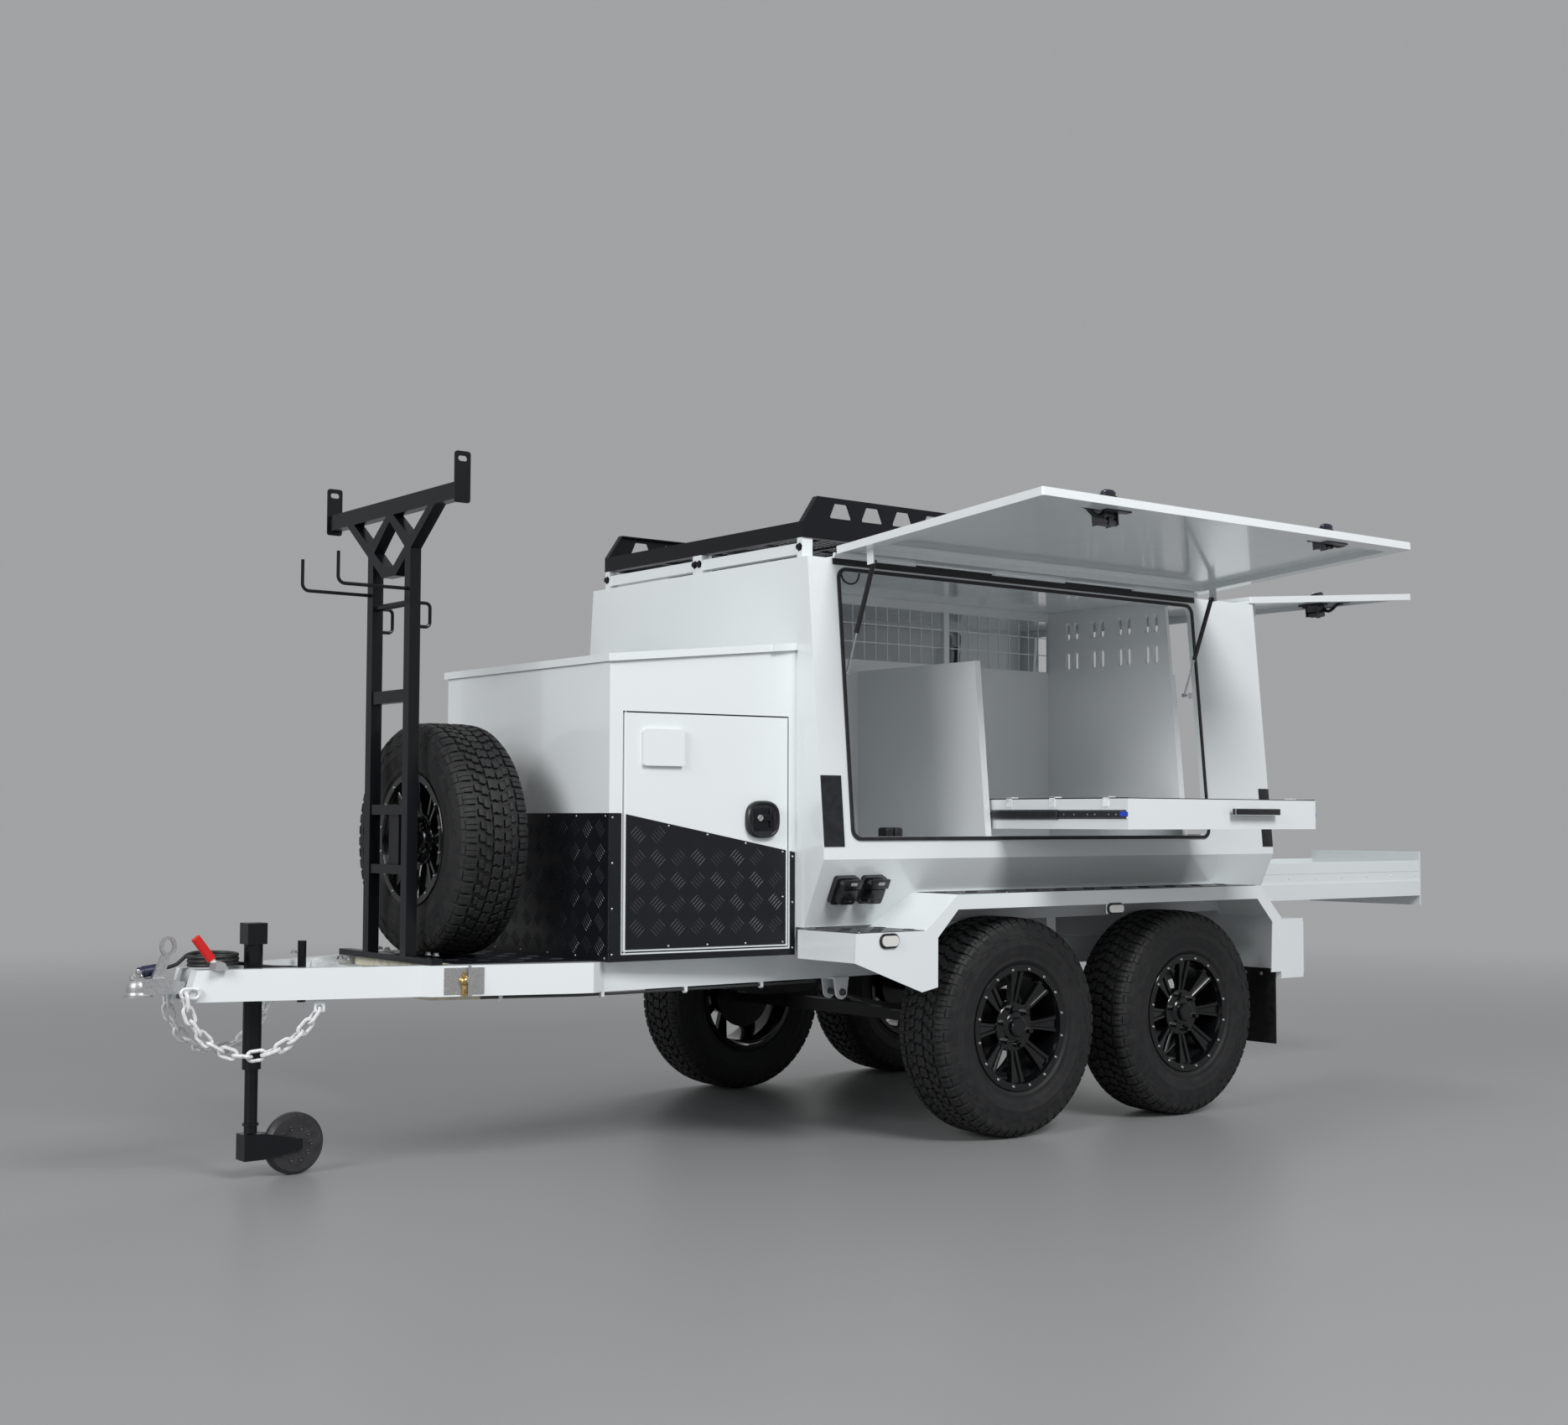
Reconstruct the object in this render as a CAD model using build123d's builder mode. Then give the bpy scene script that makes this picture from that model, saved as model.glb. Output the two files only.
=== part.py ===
"""Tandem-axle tradesman trailer with a canopy, a front box, drawers and a ladder rack.

Frame: origin at the centre of the coupling's ball socket, +X rearwards, +Y to the right
(off) side, +Z up.  All sizes are millimetres.  The left side door, the rear door and the
two drawers stand open, the right side door and the two front box doors are shut.
"""

from build123d import *
import os
from math import atan2, cos, degrees, hypot, pi, radians, sin, tan

os.makedirs("parts", exist_ok=True)

# --------------------------------------------------------------------------------------
# Driving dimensions
# --------------------------------------------------------------------------------------

ball_height = 615.0          # ground to the ball's centre
ball_r = 25.2                # bore of the socket for a 50 mm ball
fit_gap = 0.3                # between pieces that seat on each other
run_gap = 5.0                # between pieces that move past each other
pin_gap = 0.3                # radial play of a pin in its eye

# running gear
axle_group_x = 3378.0        # ball to the middle of the two axles
axle_spacing = 930.0
tyre_r = 400.0
tyre_width = 265.0
rim_r = 230.0                # outer radius of the rim's lip
wheel_y = 820.0              # centre plane of a tyre from the middle of the trailer
axle_tube = 50.0             # square axle beam
spindle_r = 19.0

# chassis
rail_depth = 100.0
rail_width = 50.0
rail_top_z = 65.0
rail_y = 485.0               # centre of a main rail
nose_x = 128.0               # front end of the A-frame rails
nose_y = 52.0                # centre of an A-frame rail at its front end
nose_slope = 26.0            # lean of the A-frame rails' front ends
frame_turn_x = 1328.0        # where the A-frame rails meet the main rails
doubler_x = 830.0            # front end of the deeper outer rail section
doubler_width = 25.0

# front box
box_front_x = 1369.0
box_half_front = 558.0
box_half_rear = 632.0
box_front_top = 1088.0
box_rear_top = 1160.0
box_wall = 20.0
lid_thick = 20.0
lid_lip = 12.0

# canopy
canopy_front_x = 2105.0
canopy_rear_x = 4578.0
canopy_top_z = 1472.0
canopy_waist_z = 401.0
canopy_base_z = 162.0
canopy_half_top = 696.0
canopy_half_waist = 790.0
canopy_half_base = 675.0
canopy_wall = 20.0
floor_z = 455.0              # top of the canopy's floor
floor_thick = 20.0

# side and rear openings
opening_front_x = 2248.0
opening_rear_x = 4158.0
opening_low_z = 480.0
opening_high_z = 1428.0
rear_opening_top = 1420.0
rear_opening_half_top = 590.0
rear_opening_half_low = 660.0

# lifting doors
door_thick = 28.0
door_open_angle = 94.5       # from straight down to the open door
door_stand_off = 12.0        # door's inner face from the body's skin
door_overlap = 35.0          # past the opening on each side
hinge_out = 14.0             # hinge axis outside the roof's edge
hinge_up = 12.0              # hinge axis above the roof
hinge_barrel_r = 7.0
hinge_pin_r = 4.0
strut_tube_r = 9.0
strut_rod_r = 4.0
strut_eye_r = 8.0
strut_pin_r = 2.5
strut_tube_length = 262.0
strut_rod_length = 198.0
rear_strut_low_in = 34.0

# drawers
side_drawer_front_x = 2956.0
side_drawer_width = 1060.0
side_drawer_z = 508.0
side_drawer_height = 108.0
side_drawer_depth = 690.0
side_drawer_travel = 655.0
side_drawer_shut_y = -768.0
rear_drawer_near_y = -625.0
rear_drawer_width = 610.0
rear_drawer_z = 190.0
rear_drawer_height = 165.0
rear_drawer_length = 1420.0
rear_drawer_travel = 1300.0

# guards
guard_y = 975.0
guard_sheet = 4.0
guard_top_z = 277.0
step_z = 154.0

# ladder rack and roof rack
rack_x = 853.0
post_size = 40.0
post_y = 137.0
bar_half = 470.0
bar_top_z = 1628.0
bar_depth = 55.0
roof_rack_length = 2150.0
roof_rack_half = 645.0

# safety chains
link_wire = 12.0
link_inner = 47.0            # inside length of a link
link_width = 42.0
link_slack = -0.2            # links' inner length past their spacing, less the wire's flats
chain_weld_z = -2.0          # welded first link
chain_rear_x = 515.0         # hanger under the rail
chain_drop = 27.0            # hanger's hole below the rail
chain_low_z = -232.0

# trailer cable
cable_r = 6.0
coil_x = 238.0
coil_r = 76.0                # centre line of its turns
coil_turns = 3
gland_y = 58.0
gland_z = 30.0
gland_length = 18.0

# jockey wheel
jockey_x = 373.0
jockey_tube_r = 30.0
jockey_leg_r = 21.0
jockey_wheel_r = 100.0
jockey_trail = 147.0

# --------------------------------------------------------------------------------------
# Places that follow from them
# --------------------------------------------------------------------------------------

ground_z = -ball_height
axle_z = ground_z + tyre_r
axle_xs = (axle_group_x - axle_spacing / 2, axle_group_x + axle_spacing / 2)
rail_low_z = rail_top_z - rail_depth
frame_slope = (rail_y - nose_y) / (frame_turn_x - nose_x)
canopy_length = canopy_rear_x - canopy_front_x
canopy_lean = (canopy_half_waist - canopy_half_top) / (canopy_top_z - canopy_waist_z)
lean_angle = degrees(atan2(canopy_half_waist - canopy_half_top, canopy_top_z - canopy_waist_z))
opening_middle_x = (opening_front_x + opening_rear_x) / 2
box_length = canopy_front_x - box_front_x
box_slope = (box_rear_top - box_front_top) / box_length
box_flare = (box_half_rear - box_half_front) / box_length
side_door_width = opening_rear_x - opening_front_x + 2 * door_overlap
side_door_drop = hypot(canopy_top_z - opening_low_z, canopy_lean * (canopy_top_z - opening_low_z))


def frame_y(x):
    """Centre of an A-frame rail, from the middle of the trailer."""
    return nose_y + (x - nose_x) * frame_slope


def canopy_half(z):
    """Half width of the canopy's skin at one height."""
    if z >= canopy_waist_z:
        return canopy_half_top + (canopy_top_z - z) * canopy_lean
    rise = (z - canopy_base_z) / (canopy_waist_z - canopy_base_z)
    return canopy_half_base + rise * (canopy_half_waist - canopy_half_base)


def save(shape, name):
    """Label one sub-part and write it to its own file."""
    shape.label = name
    export_step(shape, f"parts/{name}.step")


def both_sides(shape):
    """One node that holds a piece and its mirror image on the other side."""
    return Compound(children=[shape, shape.mirror(Plane.XZ)])


def box_between(low, high, mode=Mode.ADD):
    """A block from its low corner to its high corner."""
    size = [high[i] - low[i] for i in range(3)]
    middle = [(high[i] + low[i]) / 2 for i in range(3)]
    with Locations(tuple(middle)):
        Box(*size, mode=mode)


# --------------------------------------------------------------------------------------
# Chassis: A-frame, outer rail sections, main rails, crossmembers and body bearers
# --------------------------------------------------------------------------------------

chassis_rear_x = canopy_rear_x - 20
crossmember_xs = (700.0, 1300.0, 2060.0, 2860.0, 3378.0, 3900.0, 4500.0)
bearer_xs = (2160.0, 3378.0 - 465, 3378.0, 3378.0 + 465, 4500.0)

with BuildPart() as chassis:
    doubler_start = doubler_x - doubler_width
    for side in (-1, 1):
        with BuildSketch(Plane.XY.offset(rail_low_z)):
            with BuildLine():
                Polyline(
                    (nose_x, side * (nose_y - rail_width / 2)),
                    (frame_turn_x, side * (rail_y - rail_width / 2)),
                    (chassis_rear_x, side * (rail_y - rail_width / 2)),
                    (chassis_rear_x, side * (rail_y + rail_width / 2)),
                    (frame_turn_x, side * (rail_y + rail_width / 2)),
                    (nose_x, side * (nose_y + rail_width / 2)),
                    close=True,
                )
            make_face()
        extrude(amount=rail_depth)
        with BuildSketch(Plane.XY.offset(rail_low_z)):
            with BuildLine():
                Polyline(
                    (doubler_start, side * (frame_y(doubler_start) + rail_width / 2 - 1)),
                    (frame_turn_x, side * (rail_y + rail_width / 2 - 1)),
                    (frame_turn_x + 60, side * (rail_y + rail_width / 2 - 1)),
                    (frame_turn_x, side * (rail_y + rail_width / 2 + doubler_width)),
                    (doubler_x, side * (frame_y(doubler_x) + rail_width / 2 + doubler_width)),
                    close=True,
                )
            make_face()
        extrude(amount=rail_depth)
    with BuildSketch(Plane.XZ.offset(-nose_y - rail_width)) as nose_cut:
        Polygon(
            (nose_x - 1, rail_low_z - 1),
            (nose_x + nose_slope, rail_top_z + 1),
            (nose_x - 1, rail_top_z + 1),
            align=None,
        )
    extrude(nose_cut.sketch, amount=2 * (nose_y + rail_width), mode=Mode.SUBTRACT)
    for x in crossmember_xs:
        reach = min(frame_y(x), rail_y)
        box_between((x - 25, -reach, rail_low_z + 10), (x + 25, reach, rail_top_z - 10))
    for x in bearer_xs:
        reach = canopy_half_base - 30
        box_between((x - 25, -reach, rail_top_z), (x + 25, reach, canopy_base_z - fit_gap))
    box_between((nose_x, -nose_y, rail_low_z), (nose_x + 90, nose_y, rail_low_z + 8))
    with Locations((crossmember_xs[0] - 25, gland_y, gland_z)):
        Cylinder(11, gland_length, rotation=(0, -90, 0), align=(Align.CENTER, Align.CENTER, Align.MIN))
    for side in (-1, 1):
        hanger_plane = Plane(
            origin=(chain_rear_x, side * frame_y(chain_rear_x), rail_low_z - chain_drop),
            x_dir=(1, side * frame_slope, 0),
            z_dir=(frame_slope, -side, 0),
        )
        with BuildSketch(hanger_plane.offset(-4)) as hanger:
            with Locations((0, hanger_plane.y_dir.Z * (chain_drop - 8) / 2)):
                Rectangle(34, chain_drop + 20)
            Circle(link_wire / 2 + 3.5, mode=Mode.SUBTRACT)
        extrude(hanger.sketch, amount=8)
save(chassis.part, "chassis_frame")

# Tread plate deck on the A-frame under the spare wheel
deck_front_x = 760.0
with BuildPart() as deck:
    with BuildSketch(Plane.XY.offset(rail_top_z + fit_gap)):
        with BuildLine():
            Polyline(
                (deck_front_x + 160, -frame_y(deck_front_x + 160)),
                (box_front_x - 5, -frame_y(frame_turn_x)),
                (box_front_x - 5, frame_y(frame_turn_x)),
                (deck_front_x + 160, frame_y(deck_front_x + 160)),
                close=True,
            )
        make_face()
    extrude(amount=3)
save(deck.part, "drawbar_deck")

# Water tank between the A-frame rails, with its outlet plate and tap on the left rail
tank_front_x = 860.0
tank_rear_x = 1262.0
with BuildPart() as tank:
    inner = rail_width / 2 + 12
    with BuildSketch(Plane.XY.offset(rail_low_z - 18)):
        with BuildLine():
            Polyline(
                (tank_front_x, -frame_y(tank_front_x) + inner),
                (tank_rear_x, -frame_y(tank_rear_x) + inner),
                (tank_rear_x, frame_y(tank_rear_x) - inner),
                (tank_front_x, frame_y(tank_front_x) - inner),
                close=True,
            )
        make_face()
    extrude(amount=rail_depth + 18)
    fillet(tank.edges().filter_by(Axis.Z), radius=20)
save(tank.part, "water_tank")

frame_angle = degrees(atan2(rail_y - nose_y, frame_turn_x - nose_x))
tap_x = 925.0
tap_face = frame_y(tap_x) + rail_width / 2 + doubler_width
tap_plane = Plane(
    origin=(tap_x, -tap_face, (rail_low_z + rail_top_z) / 2),
    x_dir=(cos(radians(frame_angle)), -sin(radians(frame_angle)), 0),
    z_dir=(-sin(radians(frame_angle)), -cos(radians(frame_angle)), 0),
).offset(fit_gap)
with BuildPart() as tap:
    with BuildSketch(tap_plane):
        Rectangle(130, 86)
    extrude(amount=2)
    with BuildSketch(tap_plane.offset(2)):
        with Locations((15, 4)):
            Circle(11)
    extrude(amount=26)
    with BuildSketch(tap_plane.offset(16)):
        with Locations((15, -20)):
            Rectangle(14, 56)
    extrude(amount=14)
    with BuildSketch(tap_plane.offset(14)):
        with Locations((15, 30)):
            Rectangle(10, 40)
    extrude(amount=8)
save(tap.part, "tank_tap")

# --------------------------------------------------------------------------------------
# Coupling: pressed socket with its ball bore, neck, latch lever and ring
# --------------------------------------------------------------------------------------

coupling_skirt = 15.0
dome_r = 36.0
dome_z = 12.0                # centre of the dome's round top
neck_top = 41.0
with BuildPart() as coupling:
    with BuildSketch(Plane.XZ) as dome:
        with BuildLine():
            Line((dome_r, dome_z), (dome_r, 0))
            Polyline((dome_r, 0), (38, -7), (43, -9), (43, -coupling_skirt), (0, -coupling_skirt))
            Line((0, -coupling_skirt), (0, dome_z + dome_r))
            CenterArc((0, dome_z), dome_r, 0, 90)
        make_face()
    revolve(axis=Axis.Z)
    with BuildSketch(Plane.XZ.offset(-dome_r)):
        with BuildLine():
            Polyline(
                (0, -9),
                (nose_x + 60, -9),
                (nose_x + 60, 18),
                (nose_x - 38, neck_top - 6),
                (nose_x - 50, neck_top),
                (0, neck_top),
                close=True,
            )
        make_face()
    extrude(amount=2 * dome_r)
    with BuildSketch(Plane.XY.offset(-20)):
        Polygon(
            (nose_x - 36, 60),
            (nose_x - 36, 33),
            (nose_x - 4, 26),
            (nose_x + 70, 26),
            (nose_x + 70, 60),
            align=None,
        )
        mirror(about=Plane.XZ)
    extrude(amount=120, mode=Mode.SUBTRACT)
    Sphere(ball_r, mode=Mode.SUBTRACT)
    with Locations((0, 0, -coupling_skirt - 1)):
        Cylinder(
            ball_r,
            coupling_skirt + 6,
            align=(Align.CENTER, Align.CENTER, Align.MIN),
            mode=Mode.SUBTRACT,
        )
    box_between((20, -20, -16), (90, 20, 12), mode=Mode.SUBTRACT)
    with Locations((-12, 0, dome_z + dome_r - 8)):
        Cylinder(16, 12, align=(Align.CENTER, Align.CENTER, Align.MIN))
        Cylinder(6, 28, align=(Align.CENTER, Align.CENTER, Align.MIN))
    with BuildSketch(Plane.XZ.offset(-9)) as lever:
        Polygon((36, neck_top - 10), (74, neck_top - 10), (96, 104), (72, 112), align=None)
    extrude(amount=18)
    with BuildSketch(Plane.XZ.offset(-6)) as ring:
        with Locations((92, 138)):
            Ellipse(26, 32)
            Ellipse(15, 21, mode=Mode.SUBTRACT)
    extrude(amount=12)
save(coupling.part, "coupling")

# Handbrake: pivot plate on the left rail, lever and grip
brake_y = -97.0
brake_x = 208.0
brake_z = 80.0
grip_lean = radians(37.5)
grip_along = Vector(-sin(grip_lean), 0, cos(grip_lean))
with BuildPart() as handbrake:
    for y in (brake_y - 9, brake_y + 3):
        with BuildSketch(Plane.XZ.offset(-y - 6)) as cheek:
            with BuildLine():
                Polyline(
                    (brake_x - 18, rail_top_z + fit_gap),
                    (brake_x + 26, rail_top_z + fit_gap),
                    (brake_x + 14, brake_z + 8),
                    (brake_x, brake_z + 14),
                    (brake_x - 14, brake_z + 8),
                    close=True,
                )
            make_face()
        extrude(cheek.sketch, amount=6)
    lever_plane = Plane(origin=(brake_x, brake_y, brake_z), x_dir=(0, 1, 0), z_dir=grip_along)
    with BuildSketch(lever_plane):
        Rectangle(8, 18)
    extrude(amount=40)
    with BuildSketch(lever_plane.offset(22)):
        RectangleRounded(22, 28, 8)
    extrude(amount=88)
    with Locations((brake_x, brake_y, brake_z)):
        Cylinder(5, 20, rotation=(90, 0, 0))
save(handbrake.part, "handbrake_lever")

# Trailer cable: from a gland on the first crossmember, over the stow bar and the jockey
# clamp, three turns on the A-frame's nose, and down to the plug on the coupling's neck
coil_low_z = rail_top_z + fit_gap
coil_pitch = 2 * cable_r + 0.3
coil_height = 2 * cable_r + (coil_turns - 1) * coil_pitch + 0.6
lead_angle = radians(75)
tail_angle = radians(112)
lead_dir = Vector(sin(lead_angle), -cos(lead_angle), 0)
tail_dir = Vector(-sin(tail_angle), cos(tail_angle), -0.14).normalized()
lead_start = Vector(coil_x + coil_r * cos(lead_angle), coil_r * sin(lead_angle), coil_low_z + cable_r + 0.4)
tail_start = Vector(
    coil_x + coil_r * cos(tail_angle), coil_r * sin(tail_angle), coil_low_z + cable_r + coil_pitch
)
stub = 50.0
lead_in = lead_start + lead_dir * stub
tail_in = tail_start + tail_dir * (stub - 4)
with BuildPart() as coil:
    with BuildSketch(Plane.XZ):
        with Locations((coil_x + coil_r, coil_low_z + coil_height / 2)):
            RectangleRounded(2 * cable_r + 1.6, coil_height, cable_r - 0.5)
    revolve(axis=Axis((coil_x, 0, 0), (0, 0, 1)))
    for start, along, length in ((lead_start, lead_dir, stub), (tail_start, tail_dir, stub - 4)):
        with BuildSketch(Plane(origin=start, z_dir=along)) as wire:
            Circle(cable_r)
        extrude(wire.sketch, amount=length)
save(coil.part, "cable_coil")


def cable_run(points, name):
    """A tube of straight runs and tangent arcs along a cord's chosen points."""
    route = [Vector(*point) for point in points]
    runs = [after - before for before, after in zip(route, route[1:])]
    radii = []
    for before, after in zip(runs, runs[1:]):
        half_turn = radians(before.get_angle(after)) / 2
        radii.append(0.45 * min(before.length, after.length) / tan(half_turn))
    print(name, "bend radii", [round(radius) for radius in radii])
    with BuildPart() as tube:
        with BuildLine() as path:
            FilletPolyline(*route, radius=radii)
        with BuildSketch(Plane(origin=route[0], z_dir=runs[0])):
            Circle(cable_r)
        sweep(path=path.line)
    path_length = sum(edge.length for edge in path.line.edges())
    share = tube.part.volume / (pi * cable_r**2 * path_length)
    print(name, "length", round(path_length), "volume share", share)
    save(tube.part, name)


cable_run(
    [
        tuple(lead_in),
        tuple(lead_in + lead_dir * 45),
        (408, 52, 61),
        (470, 60, 52),
        (540, 62, 49),
        (590, 60, 41),
        (628, gland_y, gland_z),
        (crossmember_xs[0] - 25 - gland_length, gland_y, gland_z),
    ],
    "cable_lead",
)
plug_end = Vector(82, 35, 66)
tail_bend = tail_in + tail_dir * 42
cable_run([tuple(tail_in), tuple(tail_bend), tuple(plug_end)], "cable_tail")
plug_along = (plug_end - tail_bend).normalized()
with BuildPart() as plug:
    with BuildSketch(Plane(origin=plug_end, z_dir=plug_along)):
        Circle(9)
    extrude(amount=12)
    with BuildSketch(Plane(origin=plug_end + plug_along * 12, z_dir=plug_along)):
        Circle(18)
    extrude(amount=46)
    with BuildSketch(Plane(origin=plug_end + plug_along * 58, z_dir=plug_along)):
        Circle(16)
    extrude(amount=14)
save(plug.part, "cable_plug")

# --------------------------------------------------------------------------------------
# Safety chains: welded links in a hanging curve on each side
# --------------------------------------------------------------------------------------

rail_face = rail_width / 2 + link_wire / 2 + 0.4
chain_top = Vector(nose_x - link_wire / 2 - 4, -(frame_y(nose_x) + rail_face), chain_weld_z)
chain_end = Vector(chain_rear_x, -frame_y(chain_rear_x), rail_low_z - chain_drop)
with BuildLine():
    hang = Bezier(
        chain_top,
        (chain_top.X, chain_top.Y, 0.9 * chain_low_z),
        (chain_end.X - 130, chain_end.Y + 50, 1.35 * chain_low_z),
        chain_end,
    )
hang_length = hang.length
end_reach = (link_inner + link_wire) / 2
span_pairs = int((hang_length - 2 * end_reach) / link_inner / 2) + 1
link_step = (hang_length - 2 * end_reach) / (2 * span_pairs)
link_straight = link_step + link_slack + link_wire - (link_width - link_wire)


def link_solid(middle, along, normal):
    """One stadium-shaped link of six-sided wire."""
    base = Plane(origin=middle, x_dir=along, z_dir=normal)
    bend = (link_width - link_wire) / 2
    with BuildPart() as link:
        with BuildLine(base) as path:
            Line((-link_straight / 2, bend), (link_straight / 2, bend))
            CenterArc((link_straight / 2, 0), bend, 90, -180)
            Line((link_straight / 2, -bend), (-link_straight / 2, -bend))
            CenterArc((-link_straight / 2, 0), bend, -90, -180)
        start = Plane(origin=path.line @ 0, z_dir=path.line % 0)
        with BuildSketch(start):
            RegularPolygon(link_wire / 2, 6)
        sweep(path=path.line)
    return link.part


rail_along = Vector(frame_turn_x - nose_x, nose_y - rail_y, 0).normalized()
nest = 0.63 * (link_width / 2 - 1.5 * link_wire)
top_wire = chain_top - Vector(0, 0, link_wire / 2)
weld_middle = top_wire + rail_along * (link_straight / 2 + nest) + Vector(0, 0, nest)
left_links = [link_solid(weld_middle, rail_along, rail_along.cross(Vector(0, 0, 1)))]
for i in range(2 * span_pairs + 1):
    place = end_reach + i * link_step
    before = hang @ ((place - link_step / 2) / hang_length)
    after = hang @ ((place + link_step / 2) / hang_length)
    along = (after - before).normalized()
    across = along.cross(Vector(0, 1, 0)).normalized()
    facing = across if i % 2 == 0 else across.cross(along)
    left_links.append(link_solid((before + after) * 0.5, along, facing))
chain = left_links + [link.mirror(Plane.XZ) for link in left_links]
save(Compound(children=chain), "safety_chains")

# --------------------------------------------------------------------------------------
# Jockey wheel: clamp and outer tube, inner leg, swivel fork and wheel
# --------------------------------------------------------------------------------------

jockey_tube_top = 135.0
jockey_tube_low = -265.0
jockey_axle_z = ground_z + jockey_wheel_r
fork_top_z = jockey_axle_z + 45
stow_x = 540.0

with BuildPart() as jockey_tube:
    with Locations((jockey_x, 0, jockey_tube_low)):
        Cylinder(
            jockey_tube_r,
            jockey_tube_top - jockey_tube_low,
            align=(Align.CENTER, Align.CENTER, Align.MIN),
        )
    box_between((jockey_x - 33, -33, jockey_tube_top), (jockey_x + 33, 33, jockey_tube_top + 68))
    reach = (frame_y(jockey_x - 20) - rail_width / 2) - 1
    box_between((jockey_x - 20, -reach, -20), (jockey_x + 20, reach, 50))
    with Locations((jockey_x, 0, jockey_tube_low - 1)):
        Cylinder(
            jockey_leg_r + 1,
            jockey_tube_top - jockey_tube_low,
            align=(Align.CENTER, Align.CENTER, Align.MIN),
            mode=Mode.SUBTRACT,
        )
    with Locations((stow_x, 0, -60)):
        Cylinder(14, 200, align=(Align.CENTER, Align.CENTER, Align.MIN))
    stow_reach = frame_y(stow_x - 15) - rail_width / 2 - 1
    box_between((stow_x - 15, -stow_reach, 0), (stow_x + 15, stow_reach, 40))
save(jockey_tube.part, "jockey_tube")

with BuildPart() as jockey_leg:
    with Locations((jockey_x, 0, fork_top_z + 2)):
        Cylinder(
            jockey_leg_r,
            jockey_tube_low + 190 - fork_top_z,
            align=(Align.CENTER, Align.CENTER, Align.MIN),
        )
    with Locations((jockey_x, 0, fork_top_z + 30)):
        Cylinder(jockey_leg_r + 5, 8)
    with Locations((jockey_x, 0, fork_top_z - 30)):
        Cylinder(10, 34, align=(Align.CENTER, Align.CENTER, Align.MIN))
save(jockey_leg.part, "jockey_leg")

jockey_wheel_x = jockey_x + jockey_trail
with BuildPart() as jockey_fork:
    with BuildSketch(Plane.XZ.offset(-34)):
        with BuildLine():
            Polyline(
                (jockey_x - 33, fork_top_z),
                (jockey_x + 33, fork_top_z),
                (jockey_wheel_x + 18, jockey_axle_z + 16),
                (jockey_wheel_x + 18, jockey_axle_z - 16),
                (jockey_x + 33, jockey_axle_z - 38),
                (jockey_x - 33, jockey_axle_z - 38),
                close=True,
            )
        make_face()
    extrude(amount=68)
    box_between(
        (jockey_wheel_x - jockey_wheel_r - run_gap, -28, jockey_axle_z - 120),
        (jockey_wheel_x + 120, 28, jockey_axle_z + 120),
        mode=Mode.SUBTRACT,
    )
    with Locations((jockey_x, 0, fork_top_z - 31)):
        Cylinder(10 + pin_gap, 60, align=(Align.CENTER, Align.CENTER, Align.MIN), mode=Mode.SUBTRACT)
    with Locations((jockey_wheel_x, 0, jockey_axle_z)):
        Cylinder(6, 68, rotation=(90, 0, 0))
save(jockey_fork.part, "jockey_fork")

with BuildPart() as jockey_wheel:
    with BuildSketch(Plane.XZ.offset(-22)):
        with Locations((jockey_wheel_x, jockey_axle_z)):
            Circle(jockey_wheel_r)
            Circle(6 + pin_gap, mode=Mode.SUBTRACT)
            with PolarLocations(52, 10):
                Circle(7, mode=Mode.SUBTRACT)
    extrude(amount=44)
    chamfer(jockey_wheel.edges().filter_by(GeomType.CIRCLE).sort_by(SortBy.RADIUS)[-2:], 12)
save(jockey_wheel.part, "jockey_wheel")

# --------------------------------------------------------------------------------------
# Wheels: tyre, split-spoke rim with its hub and drum, four road wheels and a spare
# --------------------------------------------------------------------------------------

bead_r = 221.0
rim_half = 120.0
spoke_count = 8
hub_face_y = 96.0


def tyre_solid():
    """A wide all-terrain tyre about the Y axis, without its tread blocks."""
    half = tyre_width / 2
    with BuildPart() as tyre:
        with BuildSketch(Plane.XY):
            with BuildLine():
                Polyline(
                    (bead_r + fit_gap, -108),
                    (bead_r + 16, -rim_half + 8),
                    (bead_r + 50, -half + 4),
                    (tyre_r - 75, -half),
                    (tyre_r - 18, -half + 12),
                    (tyre_r, -half + 34),
                    (tyre_r, half - 34),
                    (tyre_r - 18, half - 12),
                    (tyre_r - 75, half),
                    (bead_r + 50, half - 4),
                    (bead_r + 16, rim_half - 8),
                    (bead_r + fit_gap, 108),
                    close=True,
                )
            make_face()
        revolve(axis=Axis.Y)
    return tyre.part


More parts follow.
